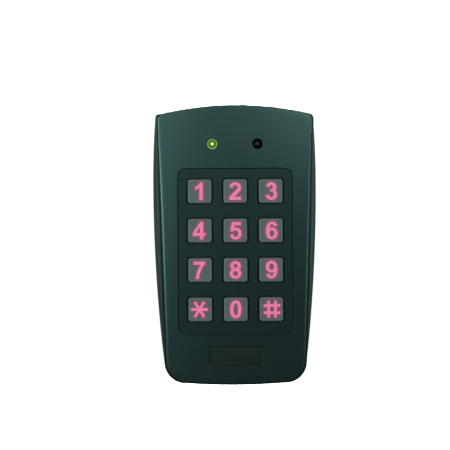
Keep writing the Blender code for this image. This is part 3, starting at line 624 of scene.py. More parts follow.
def board_laminate():
    """A green board: copper tracks under the solder mask, and the weave of the glass cloth."""
    shader = Shader("board_laminate")
    tracks = shader.node("ShaderNodeTexBrick", offset=0.37, squash=1.6, squash_frequency=3)
    for name, value in (("Scale", 260.0), ("Mortar Size", 0.035), ("Brick Width", 1.4), ("Row Height", 0.42)):
        tracks.inputs[name].default_value = value
    turned = shader.node("ShaderNodeMapping")
    turned.inputs["Rotation"].default_value = (math.pi / 2, 0, 0)
    shader.link(shader.coords, turned.inputs["Vector"])
    shader.link(turned.outputs["Vector"], tracks.inputs["Vector"])
    weave = shader.math("MULTIPLY", shader.noise(2200, 1, 0.5, (1, 1, 0.15)), shader.noise(2200, 1, 0.5, (0.15, 1, 1)))
    mask = shader.mix(shader.remap(weave, 0.15, 0.4, 0.0, 1.0), (0.006, 0.052, 0.020), (0.008, 0.066, 0.026))
    shader.set("Base Color", shader.mix(tracks.outputs["Fac"], mask, (0.020, 0.135, 0.050)))
    shader.set("Roughness", shader.remap(shader.noise(700, 3), 0.3, 0.7, 0.22, 0.34)).set("Coat Weight", 0.3)
    shader.bump([(tracks.outputs["Fac"], 0.5, 0.03 * MM), (weave, 0.2, 0.01 * MM)])
    return shader.material


def lamp_body():
    """A white lamp moulding, faintly lit."""
    shader = Shader("lamp_body")
    cloud = shader.remap(shader.noise(900, 2), 0.3, 0.7, 0.0, 1.0)
    shader.set("Base Color", shader.mix(cloud, (0.76, 0.74, 0.66), (0.82, 0.80, 0.73)))
    shader.set("Roughness", shader.remap(shader.noise(1800, 2), 0.3, 0.7, 0.3, 0.45))
    shader.set("Emission Color", (1.0, 0.45, 0.7, 1.0)).set("Emission Strength", 0.15)
    return shader.material


def insulation(name, base):
    """Glossy coloured plastic round a conductor, with faint drawing lines."""
    shader = Shader(f"wire_{name}_insulation")
    cloud = shader.remap(shader.noise(600, 3), 0.3, 0.7, 0.0, 1.0)
    shader.set("Base Color", shader.mix(cloud, [channel * 0.85 for channel in base], base))
    lines = shader.noise(3000, 2, 0.5, (1, 0.05, 1))
    shader.set("Roughness", shader.remap(lines, 0.3, 0.7, 0.28, 0.42))
    shader.bump([(lines, 0.2, 0.01 * MM)])
    return shader.material


COVER = cover_material()
BADGE = badge_material()
KEY_GREY = key_material()
LEGEND_PINK = legend_material()
LIT_LENS = lit_lens_material()
DARK_LENS = dark_lens_material()
INNER_PLASTIC = moulded("inner_plastic", (0.013, 0.016, 0.016), 0.48, grain=2000, depth=0.03).material
BLACK_RUBBER = rubber("black_rubber", (0.012, 0.012, 0.013))
MAT_RUBBER = silicone()
STEEL = metal("screw_steel", (0.56, 0.56, 0.54), 0.3)
BRASS = metal("brass", (0.72, 0.50, 0.20), 0.3)
ALUMINIUM = metal("can_aluminium", (0.80, 0.80, 0.81), 0.28, (1, 0.1, 1))
COPPER = metal("bare_copper", (0.85, 0.42, 0.24), 0.26)
COIL = enamelled_copper()
BOARD = board_laminate()
EPOXY = moulded("chip_epoxy", (0.014, 0.014, 0.015), 0.5, grain=5200, depth=0.012).material
NYLON = moulded("header_nylon", (0.62, 0.60, 0.52), 0.45, grain=1500, depth=0.01).material
LAMP_BODY = lamp_body()
WIRE_PAINT = {
    "red": insulation("red", (0.55, 0.02, 0.02)),
    "black": insulation("black", (0.015, 0.015, 0.016)),
    "green": insulation("green", (0.02, 0.28, 0.06)),
    "white": insulation("white", (0.72, 0.72, 0.70)),
    "blue": insulation("blue", (0.02, 0.08, 0.42)),
    "brown": insulation("brown", (0.13, 0.055, 0.025)),
}


# ---------------------------------------------------------------- front cover


def cover_skin():
    rings = [level(section(RIM_DEPTH, 0.25 * MM), RIM_DEPTH)]
    rings += [level(section(depth, 0), depth) for depth in (RIM_DEPTH + 0.25 * MM, 2 * MM)]
    rings += [level(section(depth, 0), depth) for depth in spread(SKIRT_DEPTH, EDGE_DEPTH - 2 * MM, 8)]
    radii = edge_radii(edge_outline(0))
    for angle in spread(0, math.pi / 2, 11):
        short = 1 - math.sin(angle)
        points = edge_outline(1 - math.cos(angle))
        rings.append(
            [Vector((p.x, -(face_depth(p) - radius * short), p.y)) for p, radius in zip(points, radii)]
        )
    edge = [Vector((p.x, p.z)) for p in rings[-1]]
    for share in spread(1, 0.04, 34)[1:]:
        rings.append([Vector((p.x, -face_depth(p), p.y)) for p in (q * share for q in edge)])
    return loft(bmesh.new(), rings)


def cover_cavity():
    ceiling = section(EDGE_DEPTH, UPPER_WALL)
    rings = [
        level(section(0, SIDE_WALL), -0.3 * MM),
        level(section(SKIRT_DEPTH, SIDE_WALL), SKIRT_DEPTH),
        level(section(LEDGE_DEPTH, SIDE_WALL), LEDGE_DEPTH),
        level(section(LEDGE_DEPTH, UPPER_WALL), LEDGE_DEPTH),
    ]
    for share in (1, 0.75, 0.5, 0.25, 0.04):
        inner = [p * share for p in ceiling]
        rings.append([Vector((p.x, -(face_depth(p) - FACE_WALL), p.y)) for p in inner])
    return loft(bmesh.new(), rings)


def pocket(bm, shape, floor, surface, edge, root=0.0):
    """A cutter for a recess whose mouth is rounded by edge, and whose floor is rounded into its wall by root.

    shape(offset) is its outline grown by offset, and surface(point) the depth of the face round it.
    """
    rings = []
    for angle in spread(0, math.pi / 2, 4) if root else (0,):
        rings.append(level(shape(-root * (1 - math.sin(angle))), floor + root * (1 - math.cos(angle))))
    for degrees in (0, 18, 36, 54, 70):
        angle = math.radians(degrees)
        ring = shape(edge * (1 - math.cos(angle)))
        rings.append([Vector((p.x, -(surface(p) - edge * (1 - math.sin(angle))), p.y)) for p in ring])
    # the mouth goes on past the face at the slope it has reached
    ring = shape(edge * (1 - math.cos(math.radians(70))) + 1.2 * MM * math.tan(math.radians(70)))
    rings.append([Vector((p.x, -(surface(p) + 1.2 * MM), p.y)) for p in ring])
    loft(bm, rings)


def cover_pockets():
    bm = bmesh.new()

    def panel(offset):
        size = [side + 2 * offset for side in PANEL_SIZE]
        return rounded_outline(size, PANEL_CORNER + offset, (0, PANEL_Z), 12, (16, 24))

    def badge(offset):
        size = [side + 2 * offset for side in BADGE_POCKET]
        return rounded_outline(size, BADGE_CORNER + offset, centre_of("badge_plate"), 6, (10, 3))

    pocket(bm, panel, PANEL_FLOOR, face_depth, 0.12 * MM)
    pocket(bm, badge, BADGE_FLOOR, face_depth, 0.15 * MM, 0.1 * MM)
    return bm


def panel_groove():
    """A narrow shadow line round the foot of the panel's wall."""
    bm = bmesh.new()
    rings = []
    for inset, depth in ((0, 0), (0, 1), (1, 1), (1, 0)):
        size = [side - 2 * GROOVE[0] * inset for side in PANEL_SIZE]
        shape = rounded_outline(size, PANEL_CORNER - GROOVE[0] * inset, (0, PANEL_Z), 12, (16, 24))
        rings.append(level(shape, PANEL_FLOOR - GROOVE[1] + (GROOVE[1] + 0.1 * MM) * depth))
    made = [[bm.verts.new(point) for point in ring] for ring in rings]
    for lower, upper in zip(made, made[1:] + made[:1]):
        for i in range(len(lower)):
            j = (i + 1) % len(lower)
            bm.faces.new((lower[i], lower[j], upper[j], upper[i]))
    return bm


def lamp_holes():
    bm = bmesh.new()
    for node in ("status_led", "mode_led"):

        def ring(offset, place_on=centre_of(node)):
            return disc_outline(LED_HOLE / 2 + offset, place_on)

        pocket(bm, ring, 15 * MM, face_depth, 0.2 * MM)
    return bm


def key_openings():
    bm = bmesh.new()
    for name in KEY_NAMES:

        def opening(offset, place_on=centre_of(f"key_{name}")):
            side = KEY_HOLE + 2 * offset
            return rounded_outline((side, side), KEY_HOLE_CORNER + offset, place_on)

        rings = [level(opening(0), PANEL_BACK - 2 * MM)]
        edge = 0.1 * MM
        for degrees in (0, 22, 45, 68):
            angle = math.radians(degrees)
            rings.append(level(opening(edge * (1 - math.cos(angle))), PANEL_FLOOR - edge * (1 - math.sin(angle))))
        rings.append(level(opening(edge * (1 - math.cos(angle)) + 0.8 * MM), PANEL_FLOOR + 0.35 * MM))
        loft(bm, rings)
    return bm


def cover_inside():
    """The plate behind the keypad panel and the screw posts."""
    bm = bmesh.new()
    size = [side + 3 * MM for side in PANEL_SIZE]
    backing = rounded_outline(size, PANEL_CORNER, (0, PANEL_Z))
    loft(bm, [level(backing, PANEL_BACK), level(backing, PANEL_FLOOR - 0.4 * MM)])
    for kind, count, foot in (("pcb_screw", 4, 16.3 * MM), ("cover_screw", 4, 9.5 * MM)):
        for number in range(1, count + 1):
            x, z = centre_of(f"{kind}_{number}")
            top = face_depth(Vector((x, z))) - FACE_WALL / 2
            rod(bm, (x, -foot, z), (x, -top, z), 2.8 * MM)
    return bm


def screw_holes():
    bm = bmesh.new()
    for kind, count in (("pcb_screw", 4), ("cover_screw", 4)):
        for number in range(1, count + 1):
            x, z = centre_of(f"{kind}_{number}")
            front = node_box(f"{kind}_{number}")[3] + 0.4 * MM
            rod(bm, (x, -9 * MM, z), (x, -front, z), 1.35 * MM, steps=20)
    return bm


def foot_hole():
    """The stepped hole in the foot that the security screw goes up through."""
    bm = bmesh.new()
    left, right, back, front, foot, top = node_box("security_screw")
    y = -(back + front) / 2
    seat = FOOT + 1.0 * MM
    rod(bm, (0, y, seat + 3 * MM), (0, y, seat - 0.3 * MM), 1.7 * MM)
    rod(bm, (0, y, seat), (0, y, FOOT - 1.0 * MM), 2.7 * MM)
    return bm


def front_cover():
    cover = to_object("cover_shell", cover_skin())
    steps = [
        ("DIFFERENCE", cover_cavity(), False),
        ("UNION", cover_inside(), False),
        ("DIFFERENCE", screw_holes(), False),
        ("DIFFERENCE", foot_hole(), True),
        ("DIFFERENCE", hook_slots(), False),
        ("DIFFERENCE", cover_pockets(), False),
        ("DIFFERENCE", panel_groove(), False),
        ("DIFFERENCE", lamp_holes(), False),
        ("DIFFERENCE", key_openings(), False),
    ]
    cut(cover, steps, sharp=12)
    place(cover, "housing", COVER, ["front_cover"])


# ---------------------------------------------------------------- badge


def badge_plate():
    left, right, back, front, foot, top = node_box("badge_plate")
    size = (right - left, top - foot)
    edge = 0.12 * MM
    rings = []
    for depth, inset in ((back, 0), (front - edge, 0), (front - 0.3 * edge, 0.3 * edge), (front, edge)):
        shape = [side - 2 * inset for side in size]
        rings.append(level(rounded_outline(shape, 0.6 * MM, centre_of("badge_plate")), depth))
    plate = to_object("badge_blank", loft(bmesh.new(), rings))
    place(plate, "housing", BADGE, ["badge_plate"])


# ---------------------------------------------------------------- keys and their legends

KEY_SIZE = 11.5 * MM
KEY_CORNER = 1.2 * MM
KEY_EDGE = 0.45 * MM
KEY_DRAFT = 0.1 * MM
KEY_FLANGE = 1.0 * MM
KEY_PLUNGER = 8.0 * MM
LEGEND_HEIGHT = 8.4 * MM
LEGEND_SPREAD = 0.35 * MM  # how much further out the outer columns' legends sit than their keys
LEGEND_PROUD = 0.04 * MM
UPRIGHT, LEVEL = 0.19, 0.155  # stroke widths of a legend, as shares of its height
SIGN_STROKE = 0.15
GLOW_REACH = 0.65 * MM


def arc_line(centre, radii, start, end, power=2.0):
    """Points on an ellipse, or on a squarer superellipse when power is above 2, between two angles."""
    count = max(3, int(abs(end - start) / 6) + 1)
    line = []
    for degrees in spread(start, end, count):
        c, s = math.cos(math.radians(degrees)), math.sin(math.radians(degrees))
        x = math.copysign(abs(c) ** (2 / power), c)
        z = math.copysign(abs(s) ** (2 / power), s)
        line.append(Vector((centre[0] + radii[0] * x, centre[1] + radii[1] * z)))
    return line


def bezier_line(*controls, count=14):
    a, b, c, d = (Vector(point) for point in controls)
    return [
        a * (1 - t) ** 3 + b * 3 * t * (1 - t) ** 2 + c * 3 * t * t * (1 - t) + d * t**3
        for t in spread(0, 1, count)
    ]


def band(one, other):
    """The outline of a stroke between two lines that run the same way."""
    return one + list(reversed(other))


def bow(centre, radii, start, end):
    """The outline of a curved stroke, from the radii of its middle line."""
    outer = (radii[0] + UPRIGHT / 2, radii[1] + LEVEL / 2)
    inner = (radii[0] - UPRIGHT / 2, radii[1] - LEVEL / 2)
    return band(arc_line(centre, outer, start, end), arc_line(centre, inner, start, end))


def bar(left, right, low, high):
    return [Vector(p) for p in ((left, low), (right, low), (right, high), (left, high))]


def arm(length, degrees):
    """A straight stroke through the middle of a sign."""
    turn = Matrix.Rotation(math.radians(degrees), 2)
    half = SIGN_STROKE / 2
    return [turn @ p + Vector((0, 0.5)) for p in bar(-length, length, -half, half)]


def shape(*points):
    return [Vector(p) for p in points]


def half_turned(outlines):
    return [[Vector((-p.x, 1 - p.y)) for p in outline] for outline in outlines]


def six():
    ring = [bow((0.015, 0.324), (0.232, 0.262), start, start + 180) for start in (0, 180)]
    back = bow((0.02, 0.5), (0.254, 0.4225), 205, 90)
    return ring + [back, bow((0.02, 0.715), (0.205, 0.2075), 90, 8)]


def zero():
    halves = []
    for start in (0, 180):
        outer = arc_line((0, 0.5), (0.322, 0.5), start, start + 180, 2.35)
        inner = arc_line((0, 0.5), (0.126, 0.345), start, start + 180, 2.35)
        halves.append(band(outer, inner))
    return halves


def one():
    under = bezier_line((-0.219, 0.575), (-0.12, 0.61), (-0.04, 0.66), (0.028, 0.72))
    over = bezier_line((0.064, 1.0), (0.03, 0.89), (-0.09, 0.78), (-0.219, 0.748))
    return [shape((0.028, 0), (0.219, 0), (0.219, 1.0)) + over + under]


def two():
    right = bezier_line((0.333, 0.71), (0.333, 0.47), (0.08, 0.34), (-0.045, 0.17))
    left = bezier_line((0.143, 0.71), (0.143, 0.52), (-0.30, 0.38), (-0.334, 0.0))
    return [
        bow((0.01, 0.71), (0.228, 0.2125), 177, 0),
        band(right, left),
        bar(-0.334, 0.334, 0, 0.177),
    ]


def three():
    return [
        bow((-0.005, 0.724), (0.19, 0.1985), 174, -86),
        bow((0, 0.302), (0.231, 0.2395), 86, -172),
        bar(-0.065, 0.03, 0.46, 0.605),
    ]


def four():
    slant = shape((0.074, 1.0), (0.234, 1.0), (0.05, 0.709), (-0.179, 0.36), (-0.358, 0.36))
    return [bar(0.05, 0.234, 0, 1.0), bar(-0.358, 0.358, 0.2, 0.368), slant]


def five():
    back = shape((-0.19, 0.982), (-0.03, 0.982), (-0.077, 0.634), (-0.135, 0.44), (-0.29, 0.464))
    return [bar(-0.19, 0.31, 0.804, 0.982), back, bow((0.02, 0.325), (0.239, 0.2645), 142, -168)]


def seven():
    right = bezier_line((0.327, 0.85), (0.13, 0.64), (-0.005, 0.33), (-0.008, 0))
    left = bezier_line((0.107, 0.82), (-0.05, 0.62), (-0.185, 0.31), (-0.192, 0))
    return [bar(-0.327, 0.327, 0.805, 0.982), band(right, left)]


def eight():
    upper = [bow((0, 0.727), (0.205, 0.1955), start, start + 180) for start in (0, 180)]
    return upper + [bow((0, 0.295), (0.232, 0.2175), start, start + 180) for start in (0, 180)]


def hash_sign():
    half, reach = SIGN_STROKE / 2, 0.47
    upright = [bar(x - half, x + half, 0.5 - reach, 0.5 + reach) for x in (-0.195, 0.195)]
    return upright + [bar(-reach, reach, z - half, z + half) for z in (0.295, 0.705)]


LEGENDS = {
    "0": zero(),
    "1": one(),
    "2": two(),
    "3": three(),
    "4": four(),
    "5": five(),
    "6": six(),
    "7": seven(),
    "8": eight(),
    "9": half_turned(six()),
    "star": [arm(0.47, 0), arm(0.5, 58), arm(0.5, -58)],
    "hash": hash_sign(),
}


def legend(name, shift):
    """The legend as one flat solid on the cap's top, in the cap's own frame, its strokes joined."""
    strokes = []
    for number, stroke in enumerate(LEGENDS[name]):
        points = [(p - Vector((0, 0.5))) * LEGEND_HEIGHT + Vector((shift, 0)) for p in stroke]
        strokes.append((points, LEGEND_PROUD))
    (first, height), rest = strokes[0], strokes[1:]
    sunk = -0.03 * MM
    made = to_object(f"key_{name}_legend", loft(bmesh.new(), [level(first, sunk), level(first, height)]))
    for points, height in rest:
        bm = loft(bmesh.new(), [level(points, sunk), level(points, height)])
        cut(made, [("UNION", bm, False)])
    bm = bmesh.new()
    bm.from_mesh(made.data)
    bmesh.ops.remove_doubles(bm, verts=bm.verts, dist=0.002 * MM)
    bmesh.ops.dissolve_limit(bm, angle_limit=math.radians(1), verts=bm.verts, edges=bm.edges)
    bm.to_mesh(made.data)
    bm.free()
    smooth(made.data, 30)
    return made


def glow_points(piece):
    """Points about 0.15 mm apart along every edge of a legend."""
    points = []
    for edge in piece.data.edges:
        start, end = (piece.data.vertices[i].co for i in edge.vertices)
        count = max(1, round((end - start).length / (0.15 * MM)))
        points += [start.lerp(end, i / count) for i in range(count)]
    return points


def add_glow(mesh, sources):
    """Stores how strongly each point of the cap is lit by the legend beside it."""
    tree = KDTree(len(sources))
    for i, point in enumerate(sources):
        tree.insert((point.x, 0, point.z), i)
    tree.balance()
    glow = mesh.attributes.new("glow", "FLOAT", "POINT")
    for vertex, value in zip(mesh.vertices, glow.data):
        distance = tree.find((vertex.co.x, 0, vertex.co.z))[2]
        on_top = 1.0 if vertex.co.y < KEY_EDGE else 0.0
        value.value = on_top * math.exp(-((distance / GLOW_REACH) ** 2))


def key_cap(name):
    node = f"key_{name}"
    back, front = node_box(node)[2:4]
    side = node_box(node)[1] - node_box(node)[0]
    flange_front = PANEL_BACK - 0.3 * MM
    flange_back = flange_front - KEY_FLANGE
    sections = [
        (KEY_PLUNGER - 0.4 * MM, back),
        (KEY_PLUNGER, back + 0.2 * MM),
        (KEY_PLUNGER, flange_back),
        (side - 0.3 * MM, flange_back),
        (side, flange_back + 0.15 * MM),
        (side, flange_front - 0.15 * MM),
        (side - 0.3 * MM, flange_front),
        (KEY_SIZE, flange_front),
    ]
    top_size = KEY_SIZE - KEY_DRAFT
    for degrees in (0, 18, 36, 54, 72, 90):
        angle = math.radians(degrees)
        depth = front - KEY_EDGE * (1 - math.sin(angle))
        sections.append((top_size - 2 * KEY_EDGE * (1 - math.cos(angle)), depth))
    rings = []
    for size, depth in sections:
        corner = max(KEY_CORNER - (KEY_SIZE - size) / 2, 0.5 * MM) if size <= KEY_SIZE else KEY_CORNER
        rings.append(level(rounded_outline((size, size), corner, (0, 0), 6, (24, 24)), depth - front))
    flat = rings[-1]
    rings += [[p * share for p in flat] for share in spread(1, 0.02, 20)[1:]]
    cap = to_object(f"key_{name}_cap", loft(bmesh.new(), rings), 40)
    x, z = centre_of(node)
    shift = LEGEND_SPREAD * round(x / (17 * MM))
    mark = legend(name, shift)
    add_glow(cap.data, glow_points(mark))
    for piece in (cap, mark):
        piece.location = (x, -front, z)
    place(cap, node, KEY_GREY, [node])
    place(mark, node, LEGEND_PINK, ())


# ---------------------------------------------------------------- indicator lamps

LAMP_RADIUS = 2.32 * MM
LAMP_FLANGE = (2.9 * MM, 1.0 * MM)


def indicator(node, material):
    """A 5 mm lamp: a flange (drawn without its flat), a straight wall and a domed lens; its own axis runs forward."""
    left, right, back, front, foot, top = node_box(node)
    height = front - back
    profile = [(0, height)]
    for angle in spread(0, math.pi / 2, 14)[1:]:
        rise = LAMP_RADIUS * math.cos(angle)
        profile.append((LAMP_RADIUS * math.sin(angle), height - LAMP_RADIUS + rise))
    flange, step = LAMP_FLANGE
    profile += [(LAMP_RADIUS, step + 0.1 * MM), (LAMP_RADIUS + 0.1 * MM, step), (flange - 0.1 * MM, step)]
    profile += [(flange, step - 0.1 * MM), (flange, 0), (0, 0)]
    lamp = to_object(f"{node}_lens", revolve(bmesh.new(), profile, (0, 0, 0), (0, -1, 0)), 40)
    x, z = centre_of(node)
    lamp.location = (x, -back, z)
    place(lamp, "housing", material, [node])


# ---------------------------------------------------------------- keypad mat

MAT_SHEET = 1.0 * MM
MAT_SIZE_CORNER = 3 * MM
DOME_WEB = 0.7 * MM
DOME_FOOT, DOME_SHOULDER = 5.6 * MM, 3.4 * MM


def mat_sheet():
    """The silicone sheet, open behind each dome and round each backlight."""
    left, right, back, front, foot, top = node_box("keypad_mat")
    centre, size = (0, (top + foot) / 2), (right - left, top - foot)
    edge = 0.2 * MM
    rings = []
    for depth, inset in ((back, edge), (back + edge, 0), (back + MAT_SHEET - edge, 0), (back + MAT_SHEET, edge)):
        shape = [side - 2 * inset for side in size]
        rings.append(level(rounded_outline(shape, MAT_SIZE_CORNER - inset, centre, 8), depth))
    holes = bmesh.new()
    for name in KEY_NAMES:
        through_hole(holes, centre_of(f"key_{name}"), DOME_FOOT - DOME_WEB, (back, back + MAT_SHEET), 0.1 * MM)
    for number in range(1, 7):
        left, right, _, _, foot, top = node_box(f"backlight_{number}")
        place_on = ((left + right) / 2, (foot + top) / 2)
        window = rounded_outline((right - left + MM, top - foot + MM), 0.4 * MM, place_on)
        loft(holes, [level(window, back - MM), level(window, back + MAT_SHEET + MM)])
    sheet = to_object("keypad_mat_sheet", loft(bmesh.new(), rings))
    cut(sheet, [("DIFFERENCE", holes, False)])
    place(sheet, "housing", MAT_RUBBER, ["keypad_mat"])


def dome(name):
    """A thin collapsing dome under one key, open behind; it is built in its resting shape."""
    back, front = node_box("keypad_mat")[2:4]
    foot = back + MAT_SHEET
    height = front - foot
    outer = [(0, height), (DOME_SHOULDER - 0.6 * MM, height)]
    for share in spread(0, 1, 9):
        ease = share * share * (3 - 2 * share)
        across = DOME_SHOULDER - 0.25 * MM + (DOME_FOOT - DOME_SHOULDER + 0.25 * MM) * share
        outer.append((across, (height - 0.15 * MM) * (1 - ease) + 0.02 * MM * (1 - share)))
    outer[-1] = (DOME_FOOT, -0.05 * MM)
    inner = [(max(radius - DOME_WEB, 0), rise - (DOME_WEB if rise > 0.7 * height else 0.3 * MM)) for radius, rise in outer]
    inner = [(radius, max(rise, -0.3 * MM)) for radius, rise in inner[2:]]
    inner[-1] = (DOME_FOOT - DOME_WEB, -0.3 * MM)
    profile = outer + inner[::-1] + [(0, height - DOME_WEB)]
    x, z = centre_of(f"key_{name}")
    piece = to_object(f"dome_{name}", revolve(bmesh.new(), profile, (x, -foot, z), (0, -1, 0), 40), 50)
    place(piece, "housing", MAT_RUBBER, ())
    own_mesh(piece)


# ---------------------------------------------------------------- wall plate and its lock

PLATE_THICKNESS = 2.5 * MM
PLATE_INSET = 2.7 * MM
PLATE_EDGE = 0.4 * MM
WALL_HOLES = (22 * MM, 40 * MM)
WALL_HOLE = 2.25 * MM
WALL_HOLE_SINK = 2.15 * MM
CABLE_OPENING = 7 * MM
TAMPER_WINDOW = 3 * MM
HOOK_X = 20 * MM
HOOK_WIDTH = 5 * MM
HOOK_ROOT_TOP = 64.0 * MM
HOOK_LIP_BACK, HOOK_FRONT = 4 * MM, 6 * MM
HOOK_TOP = 65.9 * MM
HOOK_SLOT = (7 * MM, (3.6 * MM, 6.4 * MM), (64.0 * MM, 66.3 * MM))  # width, depths and heights
LOCK_BLOCK = (10 * MM, 8 * MM)
LOCK_BLOCK_FOOT = -66 * MM


def through_hole(bm, centre, radius, depths, rear, fore=None):
    """A cutter for a round hole from back to front; rear and fore are the widths of its chamfers."""
    fore = rear if fore is None else fore
    low, high = depths
    reach = 0.5 * MM
    profile = [(0, low - reach), (radius + rear + reach, low - reach), (radius, low + rear)]
    profile += [(radius, high - fore), (radius + fore + reach, high + reach), (0, high + reach)]
    revolve(bm, profile, (centre[0], 0, centre[1]), (0, -1, 0), 40)


def softened(outline_points, low, high, radius):
    """A prism along X with every edge rounded; the outline is given as (depth, z) points."""
    bm = bmesh.new()
    loft(bm, [[Vector((x, -depth, z)) for depth, z in outline_points] for x in (low, high)])
    bmesh.ops.recalc_face_normals(bm, faces=bm.faces)
    edges = list(bm.edges)
    bmesh.ops.bevel(bm, geom=edges, offset=radius, segments=3, affect="EDGES", profile=0.5, clamp_overlap=True)
    return bm


def back_plate():
    """The plate on the wall: four countersunk holes, a cable opening, two hooks and the lock block."""
    rings = []
    for angle in spread(0, math.pi / 2, 4):
        inset = PLATE_INSET + PLATE_EDGE * (1 - math.sin(angle))
        rings.append(level(section(0, inset), PLATE_EDGE * (1 - math.cos(angle))))
    for angle in spread(math.pi / 2, 0, 4):
        inset = PLATE_INSET + PLATE_EDGE * (1 - math.sin(angle))
        rings.append(level(section(0, inset), PLATE_THICKNESS - PLATE_EDGE * (1 - math.cos(angle))))
    plate = to_object("wall_plate", loft(bmesh.new(), rings))
    root = PLATE_THICKNESS - MM
    steps = []
    hook = [(root, HOOK_ROOT_TOP - 3 * MM), (HOOK_FRONT, HOOK_ROOT_TOP - 3 * MM), (HOOK_FRONT, HOOK_TOP)]
    hook += [(HOOK_LIP_BACK, HOOK_TOP), (HOOK_LIP_BACK, HOOK_ROOT_TOP), (root, HOOK_ROOT_TOP)]
    for x in (-HOOK_X, HOOK_X):
        steps.append(("UNION", softened(hook, x - HOOK_WIDTH / 2, x + HOOK_WIDTH / 2, 0.25 * MM), False))
    width, height = LOCK_BLOCK
    front, foot = node_box("back_plate")[3], LOCK_BLOCK_FOOT
    block = [(root, foot), (front, foot), (front, foot + height), (root, foot + height)]
    steps.append(("UNION", softened(block, -width / 2, width / 2, 0.4 * MM), False))
    holes = bmesh.new()
    thick = (0, PLATE_THICKNESS)
    for x in (-WALL_HOLES[0], WALL_HOLES[0]):
        for z in (-WALL_HOLES[1], WALL_HOLES[1]):
            through_hole(holes, (x, z), WALL_HOLE, thick, 0.2 * MM, WALL_HOLE_SINK)
    through_hole(holes, centre_of("cable_grommet"), CABLE_OPENING, thick, 0.4 * MM)
    through_hole(holes, centre_of("tamper_sensor"), TAMPER_WINDOW, thick, 0.3 * MM)
    depth = lock_axis()
    insert_radius = (node_box("screw_insert")[1] - node_box("screw_insert")[0]) / 2
    rod(holes, (0, -depth, foot + 6.2 * MM), (0, -depth, foot - MM), insert_radius + 0.2 * MM)
    cut(plate, steps + [("DIFFERENCE", holes, False)])
    place(plate, "housing", INNER_PLASTIC, ["back_plate"])


def lock_axis():
    left, right, back, front, foot, top = node_box("security_screw")
    return (back + front) / 2


def hook_slots():
    """The two slots inside the top wall of the cover that the hooks reach into."""
    bm = bmesh.new()
    width, depths, heights = HOOK_SLOT
    for x in (-HOOK_X, HOOK_X):
        corners = [(x - width / 2, heights[0] - MM), (x + width / 2, heights[0] - MM)]
        corners += [(x + width / 2, heights[1]), (x - width / 2, heights[1])]
        ring = [Vector(corner) for corner in corners]
        loft(bm, [level(ring, depth) for depth in depths])
    return bm


def threads(radius, low, high, pitch=0.6 * MM, cut_in=0.16 * MM):
    """Profile points for thread crests and roots from low to high."""
    count = round((high - low) / pitch)
    points = []
    for i in range(count):
        start = low + (high - low) * i / count
        step = (high - low) / count
        points += [(radius - cut_in, start), (radius, start + 0.4 * step), (radius, start + 0.6 * step)]
    return points + [(radius - cut_in, high)]


def security_screw():
    """A flat-headed screw with a six-lobed socket and a centre pin, its head set in the foot of the cover."""
    left, right, back, front, foot, top = node_box("security_screw")
    head, tall = (right - left) / 2, 0.85 * MM
    shank = 1.4 * MM
    profile = [(0, 0), (head - 0.25 * MM, 0), (head, 0.2 * MM), (head, tall - 0.1 * MM), (head - 0.1 * MM, tall)]
    profile += [(shank, tall)] + threads(shank, tall + 0.8 * MM, top - foot - 0.6 * MM)
    profile += [(shank - 0.45 * MM, top - foot), (0, top - foot)]
    axis = (0, -lock_axis(), foot)
    screw = to_object("security_screw_body", revolve(bmesh.new(), profile, axis, (0, 0, 1), 48))
    lobes = []
    for i in range(48):
        angle = 2 * math.pi * i / 48
        radius = 1.15 * MM + 0.17 * MM * math.cos(6 * angle)
        lobes.append(Vector((radius * math.cos(angle), radius * math.sin(angle))))
    socket = bmesh.new()
    rings = []
    for height in (-0.5 * MM, 0.6 * MM):
        rings.append([Vector((p.x, -lock_axis() + p.y, foot + height)) for p in lobes])
    loft(socket, rings)
    pin = bmesh.new()
    rod(pin, (0, -lock_axis(), foot + 0.05 * MM), (0, -lock_axis(), foot + 0.8 * MM), 0.42 * MM)
    cut(screw, [("DIFFERENCE", socket, False), ("UNION", pin, False)])
    place(screw, "housing", STEEL, ["security_screw"])


# ---------------------------------------------------------------- cable

WIRE_COLOURS = ("red", "black", "green", "white", "blue", "brown")
WIRE_RADIUS = 0.55 * MM
WIRE_RING = 1.5 * MM
WIRE_SLOTS = (180, 120, 240, 60, 300, 0)  # degrees round the bundle, in the order of the header's pins
PIN_PITCH = 2.0 * MM
WIRE_BEND = 2.1 * MM
WIRE_TAIL = 12 * MM
STRIPPED = 4.5 * MM


def grommet():
    """A rubber bush with a flange on each side of the rear cover."""
    left, right, back, front, foot, top = node_box("cable_grommet")
    sheet_back, sheet_front = node_box("rear_cover")[2:4]
    flange, neck = (right - left) / 2, 3.95 * MM
    hole = (node_box("cable_jacket")[1] - node_box("cable_jacket")[0]) / 2 + 0.1 * MM
    behind, ahead = sheet_back - 0.15 * MM, sheet_front + 0.15 * MM
    soft = 0.35 * MM
    profile = [(hole, front - 0.2 * MM), (hole + 0.2 * MM, front)]
    for angle in spread(0, math.pi / 2, 6):
        profile.append((flange - soft * (1 - math.sin(angle)), front - soft * (1 - math.cos(angle))))
    profile += [(flange, ahead), (neck, ahead), (neck, behind), (flange, behind)]
    for angle in spread(math.pi / 2, 0, 6):
        profile.append((flange - soft * (1 - math.sin(angle)), back + soft * (1 - math.cos(angle))))
    profile += [(hole + 0.2 * MM, back), (hole, back + 0.2 * MM)]
    ring = closed_turning(profile, centre_of("cable_grommet"))
    place(to_object("cable_bush", ring), "housing", BLACK_RUBBER, ["cable_grommet"])


def closed_turning(profile, centre, steps=56):
    """A turned ring about a front-to-back axis, whose profile closes on itself."""
    bm = bmesh.new()
    rings = []
    for radius, depth in profile:
        points = disc_outline(radius, centre, steps)
        rings.append([bm.verts.new(Vector((p.x, -depth, p.y))) for p in points])
    for lower, upper in zip(rings, rings[1:] + rings[:1]):
        for i in range(steps):
            j = (i + 1) % steps
            bm.faces.new((lower[i], lower[j], upper[j], upper[i]))
    return bm


